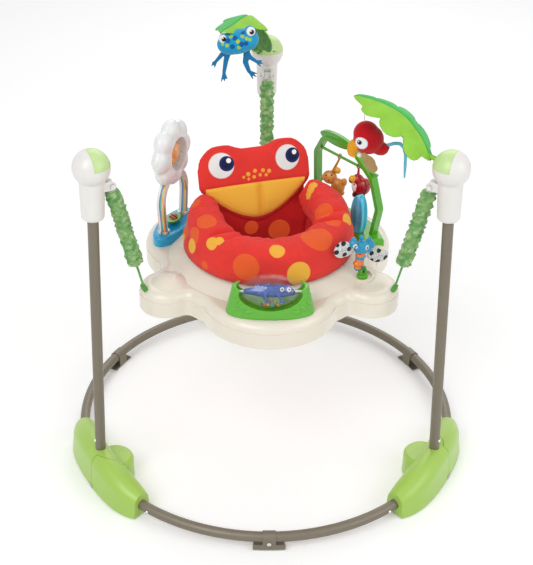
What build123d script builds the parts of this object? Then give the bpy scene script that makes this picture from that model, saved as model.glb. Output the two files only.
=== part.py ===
from build123d import *
from math import cos, degrees, pi, radians, sin, sqrt
import os

# Baby jumper: a floor ring with three leaning posts carries a toy tray on three sprung straps.
# Millimetres, floor at Z 0, ring axis on Z, front towards -Y.

# Steel tube of the ring, the posts and the foot stubs
tube_diameter = 21.0
tube_wall = 1.5
joint_play = 0.1
swage_length = 32.0
shoulder_length = 3.0

# Floor ring and leaning posts
ring_radius = 400.0
ring_height = 26.0
hub_radius = 371.0
hub_height = 719.0
corner_angles = {"left": 210.0, "right": 330.0, "rear": 90.0}
saddle_angles = (30.0, 150.0, 270.0)
post_seam_height = 98.0
button_diameter = 6.6
button_rise = 3.0
button_setback = 22.0
button_turn = -10.0

# Feet
foot_half_length = 143.0
foot_height = 82.0
foot_end_height = 52.0
foot_width = 64.0
foot_end_width = 46.0
foot_shoulder_length = 122.0
foot_wall = 3.0
foot_lift = 2.0
foot_seam = 14.0
seam_gap = 1.0
barrel_radius = 40.0
barrel_inset = 28.0
barrel_height = 52.0
stub_show = 45.0
plate_thickness = 4.0
bolt_diameter = 10.0
screw_diameter = 5.0

# Saddles under the ring
saddle_length = 62.0
saddle_hump = 26.0
saddle_sheet = 2.0
saddle_pad = 3.0

# Hubs
ball_radius = 35.0
ball_wall = 3.5
cap_edge = 8.0
cap_floor = 5.0
cap_gap = 0.3
neck_top_radius = 23.5
neck_bottom_radius = 21.5
neck_length = 104.0
post_depth = 52.0
lug_reach = 35.0
lug_drop = 40.0
lug_radius = 8.0
lug_width = 5.0
lug_gap = 14.0
pin_diameter = 5.0
slot_width = 3.0
slot_length = 9.0
slot_offset = 17.0
slot_tilt = 68.0

# Spring, sleeve and strap between a hub lug and a tray ear
anchor_radius = 277.0
anchor_drop = 16.0
coil_radius = 8.5
wire_diameter = 2.4
coil_turns = 10
coil_start = 16.0
coil_length = 158.0
plug_gap = 0.3
sleeve_start = 18.0
sleeve_length = 173.0
sleeve_ribs = 11
sleeve_bore = 10.6
sleeve_valley = 12.2
sleeve_crest = 15.6
strap_width = 9.0
strap_thickness = 2.4
toggle_diameter = 6.0
toggle_length = 26.0
slot_play = 0.6

# Tray
tray_top = 434.0
tray_depth = 50.0
bead_drop = 18.0
tray_wall = 3.0
tray_roll = 17.0
bead_step = 1.5
disc_radius = 222.0
bulge_centre = 140.0
bulge_radius = 134.0
ear_centre = 232.0
ear_radius = 55.0
neck_blend = 18.0
collar_rise = 25.0
collar_radius = 160.0
crown_radius = 204.0
well_radius = 150.0
well_wall = 3.0
well_depth = 29.0
hump_radius = 36.0
hump_height = 11.0
hump_place = 226.0
cover_thickness = 3.0
cover_play = 0.2
cover_margin = 12.0
boss_place = 200.0
boss_radius = 6.0
tray_screw_radius = 4.5
tray_screw_head = 2.4
rim_bottom = tray_top - tray_depth
bead_height = tray_top - bead_drop
collar_height = tray_top + collar_rise
well_bottom = collar_height - well_depth

# Seat
seat_turn = 12.0
run_gap = 0.4
flange_radius = 171.0
flange_thickness = 5.6
skirt_radius = 147.0
skirt_wall = 4.0
catch_reach = 4.0
roll_centre = 131.0
roll_half_width = 39.0
roll_height = 71.0
roll_span = 238.0
soft_gap = 0.3
back_depth = 34.0
back_face = 93.0
back_lean = 5.0
back_height = 176.0
brow_dip = 8.0
back_round = 9.0
eye_spacing = 142.0
eye_bump = 47.0
chin_half_width = 79.0
cheek_height = 78.0
cheek_slope = 28.0
cheek_round = 14.0
sling_depth = 176.0
sling_radius = 121.0
sling_wall = 3.0
sling_base_share = 0.34
sling_side_share = 0.88
sling_knee = 60.0
leg_hole = 50.0
leg_angle = 40.0
leg_drop = 112.0

# Front roller
roller_place = 216.0
roller_lift = 43.0
roller_half_length = 60.0
roller_radius = 35.0
roller_wall = 2.0
cradle_half_length = 82.0
cradle_half_width = 33.0
cheek_width = 12.0
cheek_radius = 9.0
cradle_rise = 26.6
cradle_taper = 10.0
cradle_round = 3.0
roller_room = 4.0
axle_diameter = 5.0
axle_play = 0.05

# Left station: blue base, rainbow arch, cloud with a sun
sky_angle = 157.0
sky_place = 214.0
sky_half_width = 74.0
sky_half_depth = 32.0
sky_rise = 20.0
rainbow_half_span = 52.0
rainbow_band = 13.0
rainbow_depth = 14.0
rainbow_rise = 121.0
cloud_lift = 182.0
cloud_core = 48.0
cloud_lobe = 25.0
cloud_lobes = 8
cloud_lobe_place = 46.0
cloud_depth = 40.0
cloud_cleft = 6.0
cloud_round = 9.0
window_radius = 34.0
sun_radius = 25.0
sun_rays = 12
leaf_toy_radius = 22.0
leaf_toy_half_width = 13.6
leaf_toy_thickness = 4.0
leaf_toy_lift = 8.0
beetle_radius = 11.0
beetle_rise = 7.0
leaf_pin_grip = 5.0

# Right station: green base, arch with a bar, hanging animals
music_right = (226.0, 12.0)
music_left = (216.0, 60.0)
music_rise = 14.0
music_arch_rise = 170.0
music_band = 9.0
music_depth = 16.0
bar_lift = 148.0
bar_diameter = 6.0
bar_play = 0.1
toy_depth = 16.0
toy_round = 2.0
push_radius = 13.0
push_travel = 3.0

# Bug on a stalk
bug_place = (184.0, -98.0)
bug_facing = 25.0
bug_height = 68.0
bug_wing_reach = 46.0
bug_wing_radius = 15.0

# Leaves and hanging toys
leaf_length = 172.0
leaf_spine = 30.0
leaf_thickness = 13.0
leaf_bend = 190.0
leaf_crest = 0.45
leaf_lobes = ((0.24, 24.0, 23.0), (0.5, 26.0, 25.0), (0.74, 18.0, 20.0))
stem_show = 14.0
stem_width = 14.0
stem_thickness = 2.6
stem_rise = 0.0
stem_play = 0.3
cord_diameter = 1.6
cord_gap = 0.3
hang_share = 0.86
frog_body_height = 48.0
frog_body_radius = 31.0
frog_eye = 10.0
frog_tilt = 8.0
frog_leg_radius = 7.0
frog_legs = (
    (-0.7, -0.2, 30.0, 58.0), (-0.45, 0.2, 2.0, 70.0), (0.4, -0.2, 4.0, 58.0), (0.7, 0.2, -28.0, 44.0),
)
parrot_height = 50.0
parrot_radius = 22.0
parrot_tail = 34.0
right_leaf_tip = (172.0, -96.0, 822.0)
rear_leaf_tip = (-78.0, 236.0, 822.0)
parrot_drop = 42.0
frog_drop = 34.0


def polar(radius, angle, height=0.0):
    return Vector(radius * cos(radians(angle)), radius * sin(radians(angle)), height)


def turned(shape, angle):
    return Rot(0, 0, angle) * shape


def ring_angle(length):
    return degrees(length / ring_radius)


def placed(plane, shape):
    return plane.location * shape


# Post axis and hub frame of a corner whose radius lies along +X
post_foot = Vector(ring_radius, 0, ring_height)
hub_centre = Vector(hub_radius, 0, hub_height)
post_axis = (hub_centre - post_foot).normalized()
post_plane = Plane(origin=post_foot, x_dir=(1, 0, 0), z_dir=post_axis)
hub_plane = Plane(origin=hub_centre, x_dir=(1, 0, 0), z_dir=post_axis)
post_length = (hub_centre - post_foot).length

# Line of the spring and strap, from the hanger pin down to the ear
pin_centre = hub_plane.from_local_coords(Vector(-lug_reach, 0, -lug_drop))
anchor = Vector(anchor_radius, 0, tray_top - anchor_drop)
hang_line = Plane(origin=pin_centre, x_dir=(0, 1, 0), z_dir=anchor - pin_centre)
hang_length = (anchor - pin_centre).length

swage_diameter = tube_diameter - 2 * tube_wall - 2 * joint_play
swage_bore = swage_diameter - 2 * tube_wall
seam_angle = ring_angle(foot_half_length + stub_show)
swage_angle = ring_angle(swage_length)
shoulder_angle = ring_angle(shoulder_length)
button_angle = seam_angle - ring_angle(button_setback)


def tube_section(outer, inner):
    return Circle(outer / 2) - Circle(inner / 2)


def bent_tube(outer, inner, start, end):
    section = Plane.XZ * (Pos(ring_radius, ring_height) * tube_section(outer, inner))
    return turned(revolve(section, Axis.Z, end - start), start)


def straight_tube(outer, inner, start, end):
    return Pos(0, 0, start) * extrude(tube_section(outer, inner), end - start)


def button_hole(radius):
    # Cylinder from the tube's axis outwards along local +X
    return Rot(0, 90, 0) * Cylinder(radius, tube_diameter, align=(Align.CENTER, Align.CENTER, Align.MIN))


def ring_button_place(angle):
    return Rot(0, 0, angle) * Pos(ring_radius, 0, ring_height)


post_button_height = post_seam_height - button_setback
post_button_place = post_plane.location * Pos(0, 0, post_button_height) * Rot(0, 0, button_turn)


def ring_tube(first_angle):
    start = first_angle + seam_angle
    end = first_angle + 120 - seam_angle
    tube = bent_tube(tube_diameter, tube_diameter - 2 * tube_wall, start, end)
    for near, inward in ((start, 1), (end, -1)):
        shoulder = sorted((near, near + inward * shoulder_angle))
        tail = sorted((near + inward * shoulder_angle / 2, near - inward * swage_angle))
        tube += bent_tube(tube_diameter, swage_bore, *shoulder)
        tube += bent_tube(swage_diameter, swage_bore, *tail)
    for angle in (first_angle + button_angle, first_angle + 120 - button_angle):
        tube -= ring_button_place(angle) * button_hole(button_diameter / 2 + joint_play)
    return tube


def post_tube():
    top = post_length - post_depth
    tube = straight_tube(tube_diameter, tube_diameter - 2 * tube_wall, post_seam_height, top)
    tube += straight_tube(tube_diameter, swage_bore, post_seam_height, post_seam_height + shoulder_length)
    tail_end = post_seam_height + shoulder_length / 2
    tube += straight_tube(swage_diameter, swage_bore, post_seam_height - swage_length, tail_end)
    tube = placed(post_plane, tube)
    return tube - post_button_place * button_hole(button_diameter / 2 + joint_play)


def foot_stubs():
    bore = tube_diameter - 2 * tube_wall
    barrel_side = barrel_chord() + foot_seam / 2
    housing = bent_tube(tube_diameter, bore, -seam_angle, 0)
    knuckle = bent_tube(tube_diameter, bore, ring_angle(barrel_side + 2 * seam_gap), seam_angle)
    upright_start = tube_diameter / 2 + joint_play
    upright = placed(post_plane, straight_tube(tube_diameter, bore, upright_start, post_seam_height))
    hole = button_hole(button_diameter / 2 + joint_play)
    housing -= ring_button_place(-button_angle) * hole
    knuckle -= ring_button_place(button_angle) * hole
    upright -= post_button_place * hole
    # The upright is coped to sit on the ring stub
    upright -= bent_tube(tube_diameter + 2 * joint_play, bore, -10, 10)
    return [housing, knuckle, upright]


def snap_button():
    seat = swage_bore / 2 - button_rise
    head = tube_diameter / 2 + button_rise - button_diameter / 2
    stem = Cylinder(button_diameter / 2, head - seat, align=(Align.CENTER, Align.CENTER, Align.MIN))
    dome = Pos(0, 0, head - seat) * Sphere(button_diameter / 2)
    flange = Cylinder(button_diameter / 2 + 1.2, 1.2, align=(Align.CENTER, Align.CENTER, Align.MIN))
    return Rot(0, 90, 0) * Pos(0, 0, seat) * (stem + dome + flange)


def foot_profile(distance, width, height, inset=0.0, floor=foot_lift):
    # Flat bottom, sides drawn in, arched top
    angle = ring_angle(distance)
    side = polar(1, angle)
    along = polar(1, angle + 90)
    plane = Plane(origin=polar(ring_radius, angle), x_dir=side, z_dir=-along)
    half = width / 2 - inset
    waist = 0.86 * half
    top = height - inset
    spring = top - 0.36 * (height - foot_lift)
    base = Line((-half, floor), (half, floor))
    outer = Line((half, floor), (waist, spring))
    crown = ThreePointArc((waist, spring), (0, top), (-waist, spring))
    inner = Line((-waist, spring), (-half, floor))
    return plane * make_face([base, outer, crown, inner])


def foot_loft(inset=0.0, floor=foot_lift):
    middle_width = (foot_width + foot_end_width) / 2 + 4
    end = foot_half_length - inset
    shoulder = foot_shoulder_length
    sections = [
        foot_profile(-end, foot_end_width, foot_end_height, inset, floor),
        foot_profile(-shoulder, middle_width, foot_end_height + 8, inset, floor),
        foot_profile(0, foot_width, foot_height, inset, floor),
        foot_profile(shoulder, middle_width, foot_end_height + 8, inset, floor),
        foot_profile(end, foot_end_width, foot_end_height, inset, floor),
    ]
    return loft(sections)


barrel_centre = polar(ring_radius - barrel_inset, ring_angle(foot_seam / 2))


def barrel_chord():
    # Half width of the hinge barrel where the ring tube passes it
    return sqrt((barrel_radius + seam_gap) ** 2 - (barrel_inset - tube_diameter / 2) ** 2)


def foot_form():
    form = foot_loft()
    barrel = Cylinder(barrel_radius, barrel_height - foot_lift, align=(Align.CENTER, Align.CENTER, Align.MIN))
    barrel = fillet(barrel.faces().sort_by(Axis.Z)[-1].edges(), 9)
    form += Pos(barrel_centre) * Pos(0, 0, foot_lift) * barrel
    return form


def foot_cavity():
    cavity = foot_loft(foot_wall, foot_lift - 5)
    bore = Cylinder(barrel_radius - foot_wall, barrel_height - foot_wall + 5)
    return cavity + Pos(barrel_centre) * Pos(0, 0, (barrel_height - foot_wall - 5) / 2) * bore


def foot_rib(distance, form):
    slab = Pos(ring_radius, 0, foot_height / 2) * Box(2 * foot_width, foot_wall, foot_height)
    slab = turned(slab, ring_angle(distance))
    floor_cut = Box(4 * foot_width, 4 * foot_half_length, plate_thickness)
    return (slab & form) - Pos(ring_radius, 0, plate_thickness / 2) * floor_cut


def foot_pair():
    form = foot_form()
    shell = form - foot_cavity()
    ribs = [foot_rib(distance, form) for distance in (-112, -62, 62, 112)]
    socket_length = foot_height - ring_height - tube_diameter / 2
    socket = Pos(0, 0, tube_diameter / 2) * extrude(Circle(tube_diameter / 2 + 4), socket_length + 10)
    body = shell + ribs + (placed(post_plane, socket) & form)
    bore = tube_diameter + 2 * joint_play
    body -= bent_tube(bore, 0.001, -40, 40)
    body -= placed(post_plane, extrude(Circle(bore / 2), 2 * foot_height))
    # Front half on the far side of the seam, less the round hinge barrel
    seam_reach = 2 * foot_half_length
    front = Pos(ring_radius, seam_reach / 2, 0) * Box(6 * foot_width, seam_reach, 6 * foot_height)
    barrel_zone = Pos(barrel_centre) * Cylinder(barrel_radius + seam_gap, 6 * foot_height)
    near = turned(front, ring_angle(foot_seam))
    far = turned(front, ring_angle(foot_seam + seam_gap))
    notch_place = turned(Pos(ring_radius + foot_width / 2, 0, 0), ring_angle(foot_seam))
    notch = notch_place * Box(14, 13, 19)
    body -= foot_screws()
    housing = body - (near - (Pos(barrel_centre) * Cylinder(barrel_radius, 6 * foot_height))) - notch
    knuckle = (body & far) - barrel_zone - notch
    return largest(housing), largest(knuckle)


def largest(shape):
    return shape.solids().sort_by(SortBy.VOLUME)[-1]


def foot_plate():
    half = foot_end_width / 2 - foot_wall - 1
    reach = ring_angle(foot_half_length - 3 * foot_wall)
    strip = Plane.XZ * (Pos(ring_radius, plate_thickness / 2) * Rectangle(2 * half, plate_thickness))
    plate = turned(revolve(strip, Axis.Z, 2 * reach), -reach)
    tongue_length = foot_width / 2 + 1
    tongue = Pos(ring_radius + tongue_length / 2, 0, 2) * Box(tongue_length, 11, 4)
    lip = Pos(ring_radius + tongue_length - 1.5, 0, 4) * Box(3, 11, 8)
    plate += turned(tongue + lip, ring_angle(foot_seam))
    return plate - foot_screws()


def foot_screws():
    # Hinge bolt in the barrel and two self-tapping screws at the ends
    bolt = Cylinder(bolt_diameter / 2, barrel_height - 2 * foot_wall)
    bolt = Pos(barrel_centre) * Pos(0, 0, barrel_height / 2 - foot_wall / 2 + 1.4) * bolt
    screws = [bolt]
    for distance in (-112, 112):
        screw = Cylinder(screw_diameter / 2, plate_thickness + 1)
        screws.append(turned(Pos(ring_radius, 0, plate_thickness / 2 + 1.5) * screw, ring_angle(distance)))
    return screws


def ring_strip(section, length):
    # Section on the ring's circle, carried along it for a length
    reach = ring_angle(length / 2)
    return turned(revolve(Plane.XZ * (Pos(ring_radius, 0) * section), Axis.Z, 2 * reach), -reach)


def saddle():
    # Pressed strap: an arch clips over the tube, a flange below runs on past it
    radius = tube_diameter / 2 + joint_play
    outside = 2 * (radius + saddle_sheet)
    drop = ring_height - saddle_pad
    middle = saddle_pad + drop / 2
    arch = Pos(0, ring_height) * Circle(radius + saddle_sheet) + Pos(0, middle) * Rectangle(outside, drop)
    hollow = Pos(0, ring_height) * Circle(radius) + Pos(0, middle) * Rectangle(2 * radius, drop)
    floor = Pos(0, saddle_pad + saddle_sheet / 2) * Rectangle(outside, saddle_sheet)
    flange_height = drop - radius
    flange_place = Pos(radius + saddle_sheet / 2, saddle_pad + flange_height / 2)
    flange = flange_place * Rectangle(saddle_sheet, flange_height)
    return ring_strip(arch - hollow + floor, saddle_hump) + ring_strip(flange + floor, saddle_length)


def saddle_foot():
    width = tube_diameter + 2 * saddle_sheet
    return ring_strip(Pos(0, saddle_pad / 2) * Rectangle(width, saddle_pad), saddle_length - 6)


def saddle_screw():
    radius = tube_diameter / 2 + joint_play + saddle_sheet
    head = Rot(0, 90, 0) * Cylinder(4.2, 2.4)
    return Pos(ring_radius + radius + 1.2, 0, ring_height - radius / 2) * head


def cap_zone(grow=0.0):
    # Inner upper part of the ball: towards the seat and above the middle
    size = 4 * ball_radius
    return Pos(cap_edge + grow - size / 2, 0, cap_floor - grow + size / 2) * Box(size, size, size)


def hub():
    ball = Sphere(ball_radius)
    bottom = -neck_length
    neck = Pos(0, 0, bottom) * Cone(
        neck_bottom_radius, neck_top_radius, neck_length - ball_radius / 2,
        align=(Align.CENTER, Align.CENTER, Align.MIN),
    )
    neck = fillet(neck.edges().sort_by(Axis.Z)[0], 9)
    lugs = []
    for side in (-1, 1):
        plate = Pos(-lug_reach, 0, -lug_drop) * Rot(90, 0, 0) * Cylinder(lug_radius, lug_width)
        plate += Pos(-lug_reach / 2, 0, -lug_drop) * Box(lug_reach, lug_width, 2 * lug_radius)
        lugs.append(Pos(0, side * (lug_gap + lug_width) / 2, 0) * plate)
    body = ball + neck + lugs
    hollow = Sphere(ball_radius - ball_wall) & (Pos(0, 0, 2 * ball_radius) * Box(*[4 * ball_radius] * 3))
    body -= hollow
    body -= cap_zone(cap_gap) & Sphere(ball_radius + 1)
    socket = tube_diameter / 2 + joint_play
    body -= Pos(0, 0, -neck_length) * Cylinder(
        socket, neck_length - post_depth, align=(Align.CENTER, Align.CENTER, Align.MIN)
    )
    pin_hole = Rot(90, 0, 0) * Cylinder(pin_diameter / 2 + joint_play, 4 * lug_gap)
    body -= Pos(-lug_reach, 0, -lug_drop) * pin_hole
    return placed(hub_plane, body)


def hub_cap():
    # Cap with a narrow slot on each side of the leaf's place
    cap = (Sphere(ball_radius) - Sphere(ball_radius - ball_wall)) & cap_zone()
    for side in (-1, 1):
        slot = Pos(0, side * slot_offset, ball_radius) * Box(slot_width, slot_length, 4 * ball_wall)
        cap -= Rot(0, -slot_tilt, 0) * slot
    return placed(hub_plane, cap)


def hanger_pin():
    length = lug_gap + 2 * lug_width + 2
    pin = Cylinder(pin_diameter / 2, length)
    heads = [Pos(0, 0, side * (length / 2 + 1)) * Cylinder(pin_diameter / 2 + 2, 2) for side in (-1, 1)]
    return placed(hub_plane, Pos(-lug_reach, 0, -lug_drop) * Rot(90, 0, 0) * (pin + heads))


def helix_path(radius, rise, turns):
    # Half turns, each as two arcs that share their tangent where they meet
    lead = rise / (2 * pi * turns)
    edges = []
    for half_turn in range(2 * turns):
        ends = []
        for turn in (half_turn * pi, (half_turn + 1) * pi):
            point = Vector(radius * cos(turn), radius * sin(turn), lead * turn)
            heading = Vector(-radius * sin(turn), radius * cos(turn), lead).normalized()
            ends.append((point, heading))
        (start, leave), (stop, arrive) = ends
        chord = stop - start
        square = 2 * (1 - leave.dot(arrive))
        linear = 2 * chord.dot(leave + arrive)
        reach = (-linear + sqrt(linear ** 2 + 4 * square * chord.dot(chord))) / (2 * square)
        middle = ((start + leave * reach) + (stop - arrive * reach)) * 0.5
        edges.append(TangentArc(start, middle, tangent=leave))
        edges.append(TangentArc(middle, stop, tangent=(middle - start - leave * reach).normalized()))
    return Wire(edges)


def least_gap(path):
    # Clear distance between turns of the wire, on points at least half a turn apart
    steps = 24
    points = [path @ (step / (steps * coil_turns)) for step in range(steps * coil_turns + 1)]
    near = min((b - a).length for i, a in enumerate(points) for b in points[i + steps // 2:i + 2 * steps])
    return near - wire_diameter


def spring():
    path = helix_path(coil_radius, coil_length, coil_turns)
    print(f"spring: least gap between turns {least_gap(path):.2f} mm")
    start = Plane(origin=path @ 0, z_dir=path % 0)
    coil = sweep(start * Circle(wire_diameter / 2), path=path)
    return placed(hang_line, Pos(0, 0, coil_start) * coil)


def spring_plugs():
    core = coil_radius - wire_diameter / 2 - plug_gap
    grip = 3 * coil_length / coil_turns
    flange = 3.0
    eye = pin_diameter / 2 + 3
    low = (Align.CENTER, Align.CENTER, Align.MIN)
    stem_start = coil_start - wire_diameter / 2 - plug_gap - flange
    top = Rot(0, 90, 0) * Cylinder(eye, lug_gap - 2)
    top += Box(lug_gap - 2, 2 * eye, stem_start + flange, align=low)
    top += Pos(0, 0, stem_start) * Cylinder(coil_radius, flange, align=low)
    top += Pos(0, 0, stem_start + flange) * Cylinder(core, grip, align=low)
    top -= Rot(0, 90, 0) * Cylinder(pin_diameter / 2 + joint_play, 4 * lug_gap)
    end = coil_start + coil_length
    bottom = Pos(0, 0, end - grip) * Cylinder(core, grip + wire_diameter / 2 + plug_gap, align=low)
    bottom += Pos(0, 0, end + wire_diameter / 2 + plug_gap) * Cylinder(coil_radius, flange, align=low)
    return [placed(hang_line, top), placed(hang_line, bottom)]


def sleeve():
    pitch = sleeve_length / sleeve_ribs
    rings = []
    for rib in range(sleeve_ribs):
        swell = sin(pi * (rib + 0.5) / sleeve_ribs)
        crest = sleeve_crest + 1.4 * swell - (2.6 if rib < 2 else 0.0)
        for share, radius in ((0.06, sleeve_valley), (0.36, crest), (0.66, crest), (0.94, sleeve_valley)):
            rings.append(Pos(0, 0, sleeve_start + pitch * (rib + share)) * Circle(radius))
    body = loft(rings, ruled=True)
    body -= Pos(0, 0, sleeve_start) * extrude(Circle(sleeve_bore), sleeve_length)
    return placed(hang_line, body)


def strap():
    start = coil_start + coil_length + wire_diameter / 2 + plug_gap + 3.0
    run = hang_length + toggle_diameter / 2 + tray_wall + 3 - start
    web = Box(strap_width, strap_thickness, run, align=(Align.CENTER, Align.CENTER, Align.MIN))
    web = Pos(0, 0, start) * web
    toggle = Pos(0, 0, start + run) * Rot(0, 90, 0) * Cylinder(toggle_diameter / 2, toggle_length)
    return placed(hang_line, web + toggle)


def tray_outline(inset=0.0):
    shape = Circle(disc_radius - inset)
    for angle in saddle_angles:
        shape += Pos(polar(bulge_centre, angle)) * Circle(bulge_radius - inset)
    for angle in corner_angles.values():
        shape += Pos(polar(ear_centre, angle)) * Circle(ear_radius - inset)
    return fillet(shape.vertices(), neck_blend + inset)


def tray_form(inset, bottom, top, roll):
    body = Pos(0, 0, bottom) * extrude(tray_outline(inset), top - bottom)
    body = fillet(body.faces().sort_by(Axis.Z)[-1].edges(), roll)
    collar = collar_height - tray_top + top
    crown = Plane.XZ * make_face(Polyline(
        (0, bottom), (crown_radius - inset, bottom), (crown_radius - inset, top),
        (collar_radius - inset, collar), (0, collar), close=True,
    ))
    return body + revolve(crown, Axis.Z)


def ear_slot():
    slot = Box(strap_width + 2 * slot_play, strap_thickness + 2 * slot_play, 60)
    return placed(hang_line, Pos(0, 0, hang_length) * slot)


def hump(angle):
    # Low spherical dome with its flat side in the tray's top
    radius = (hump_radius ** 2 + hump_height ** 2) / (2 * hump_height)
    dome = Pos(0, 0, hump_height - radius) * Sphere(radius)
    dome &= Pos(0, 0, hump_height) * Box(4 * hump_radius, 4 * hump_radius, 2 * hump_height + 3)
    return Pos(polar(hump_place, angle, tray_top)) * dome


def tray_shell():
    shell = tray_form(bead_step, rim_bottom, tray_top, tray_roll)
    shell += Pos(0, 0, rim_bottom) * extrude(tray_outline(), bead_height - rim_bottom)
    shell -= tray_form(bead_step + tray_wall, rim_bottom - 1, tray_top - tray_wall, tray_roll - tray_wall)
    shell += [hump(corner_angles[side]) for side in ("left", "rear")]
    wall = Circle(well_radius + well_wall) - Circle(well_radius)
    shell += Pos(0, 0, well_bottom) * extrude(wall, collar_height - tray_wall - well_bottom)
    shell -= Pos(0, 0, rim_bottom) * Cylinder(well_radius, 4 * collar_height)
    shell += bug_dish()
    shell -= [turned(ear_slot(), angle) for angle in corner_angles.values()]
    return shell


def bug_dish():
    rim = Circle(24) - Circle(19)
    ring = extrude(rim, tray_wall + 6)
    ring = fillet(ring.faces().sort_by(Axis.Z)[-1].edges(), 1.6)
    return Pos(*bug_place, tray_top - tray_wall) * ring


def tray_cover():
    outline = tray_outline(bead_step + tray_wall + cover_play)
    plate = Pos(0, 0, rim_bottom) * extrude(outline - Circle(well_radius + cover_margin), cover_thickness)
    return plate


def tray_bosses():
    # Screw towers between the cover and the tray's top
    low = (Align.CENTER, Align.CENTER, Align.MIN)
    height = tray_top - tray_wall - rim_bottom - cover_thickness
    towers = []
    for angle in saddle_angles + tuple(corner_angles.values()):
        place = Pos(polar(boss_place, angle, rim_bottom + cover_thickness))
        towers.append(place * Cylinder(boss_radius, height + tray_wall / 3, align=low))
    return towers


def tray_screw(angle):
    top = (Align.CENTER, Align.CENTER, Align.MAX)
    head = Cylinder(tray_screw_radius, tray_screw_head, align=top)
    return Pos(polar(boss_place, angle, rim_bottom)) * head


def seat_ring():
    top = collar_height + run_gap + flange_thickness
    skirt_in = skirt_radius - skirt_wall
    bottom = well_bottom - run_gap - catch_reach
    catch_out = well_radius + catch_reach
    profile = Polyline(
        (skirt_in, bottom), (catch_out, bottom), (catch_out, bottom + catch_reach),
        (skirt_radius, bottom + catch_reach), (skirt_radius, collar_height + run_gap),
        (flange_radius, collar_height + run_gap), (flange_radius, top), (skirt_in, top), close=True,
    )
    return revolve(Plane.XZ * make_face(profile), Axis.Z)


seat_base = collar_height + run_gap + flange_thickness + soft_gap


def seat_roll():
    # Padded roll round the front and sides, flat below and crowned above
    low, high = seat_base, seat_base + roll_height
    near, far = roll_centre - roll_half_width, roll_centre + roll_half_width
    middle = low + 0.45 * roll_height
    bulge = 0.30 * roll_half_width
    section = make_face([
        Line((near + bulge, low), (far - bulge, low)),
        ThreePointArc((far - bulge, low), (far - 0.05 * bulge, low + 0.2 * roll_height), (far, middle)),
        ThreePointArc((far, middle), (far - bulge, high - 0.16 * roll_height), (roll_centre, high)),
        ThreePointArc((roll_centre, high), (near + bulge, high - 0.16 * roll_height), (near, middle)),
        ThreePointArc((near, middle), (near + 0.05 * bulge, low + 0.2 * roll_height), (near + bulge, low)),
    ])
    return turned(revolve(Plane.XZ * section, Axis.Z, roll_span), 270 - roll_span / 2)


def seat_back():
    # Frog head: two eye bumps with a shallow brow between them, cheeks, narrow chin on the seat ring
    bump, high = eye_spacing / 2, back_height
    eye, half = high - eye_bump, bump + eye_bump
    slant = 0.7071 * eye_bump
    chin, jaw = chin_half_width, cheek_height - cheek_slope
    upper = [ThreePointArc((bump, high), (0, high - brow_dip), (-bump, high))]
    for side in (-1, 1):
        corner = (side * (bump + slant), eye + slant)
        upper.append(ThreePointArc((side * bump, high), corner, (side * half, eye)))
        upper.append(Polyline((side * half, eye), (side * half, cheek_height), (side * chin, jaw), (side * chin, 0)))
    outline = make_face(upper + [Line((-chin, 0), (chin, 0))])
    cheeks = outline.vertices().filter_by_position(Axis.Y, jaw - 1, cheek_height + 1)
    outline = fillet(cheeks, cheek_round)
    pad = extrude(Plane.XZ * outline, -back_depth)
    rims = pad.faces().sort_by(Axis.Y)
    pad = fillet(rims[0].edges() + rims[-1].edges(), back_round)
    # The rounded rear edge is the lowest once the pad leans back
    lean = radians(back_lean)
    foot = back_round * (1 - cos(lean)) + (back_depth - back_round) * sin(lean)
    return Pos(0, back_face, seat_base + foot) * Rot(-back_lean, 0, 0) * pad


def seat_sling():
    # Bag with a flat bottom and a hem on the skirt, one wall profile turned about Z
    top = seat_base - soft_gap - run_gap
    rim = skirt_radius - skirt_wall - soft_gap
    deep = top - sling_depth
    base, side = sling_base_share * sling_radius, sling_side_share * sling_radius
    turn = 0.5 * (base + side) + 0.2 * (side - base)
    knee, fold = deep + sling_knee, deep + 0.3 * sling_knee
    wall = sling_wall
    profile = make_face([
        Line((0, deep), (base, deep)),
        ThreePointArc((base, deep), (turn, fold), (side, knee)),
        Line((side, knee), (sling_radius, top - wall)),
        Line((sling_radius, top - wall), (rim, top - wall)),
        Line((rim, top - wall), (rim, top)),
        Line((rim, top), (sling_radius - wall, top)),
        Line((sling_radius - wall, top), (side - wall, knee)),
        ThreePointArc((side - wall, knee), (turn - 0.7 * wall, fold + 0.7 * wall), (base, deep + wall)),
        Line((base, deep + wall), (0, deep + wall)),
        Line((0, deep + wall), (0, deep)),
    ])
    bag = revolve(Plane.XZ * profile, Axis.Z)
    for hand in (-1, 1):
        hole = Cylinder(leg_hole, 2 * sling_radius, align=(Align.CENTER, Align.CENTER, Align.MIN))
        bag -= Pos(0, 0, top - leg_drop) * turned(Rot(0, 90, 0) * hole, 270 + hand * leg_angle)
    return bag


roller_centre = polar(roller_place, 270, tray_top + roller_lift)


def egg(length, radius):
    # Ellipsoid of revolution about X
    half = Ellipse(length, radius) & (Pos(0, radius) * Rectangle(2 * length, 2 * radius))
    return revolve(half, Axis.X)


def roller_half(side):
    bore = axle_diameter / 2
    wall = Ellipse(roller_half_length, roller_radius)
    wall -= Ellipse(roller_half_length - roller_wall, roller_radius - roller_wall)
    quarter = Rectangle(roller_half_length, roller_radius)
    quarter = Pos(roller_half_length / 2, bore + roller_radius / 2) * quarter
    rim = Pos(0.75, roller_radius - roller_wall / 2) * Rectangle(1.5, roller_wall + 2)
    half = revolve((wall & quarter) + rim, Axis.X)
    return Pos(roller_centre) * (half if side > 0 else mirror(half, Plane.YZ))


def roller_axle():
    reach = cradle_half_length - 4
    return Pos(roller_centre) * Rot(0, 90, 0) * Cylinder(axle_diameter / 2, 2 * reach)


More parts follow.
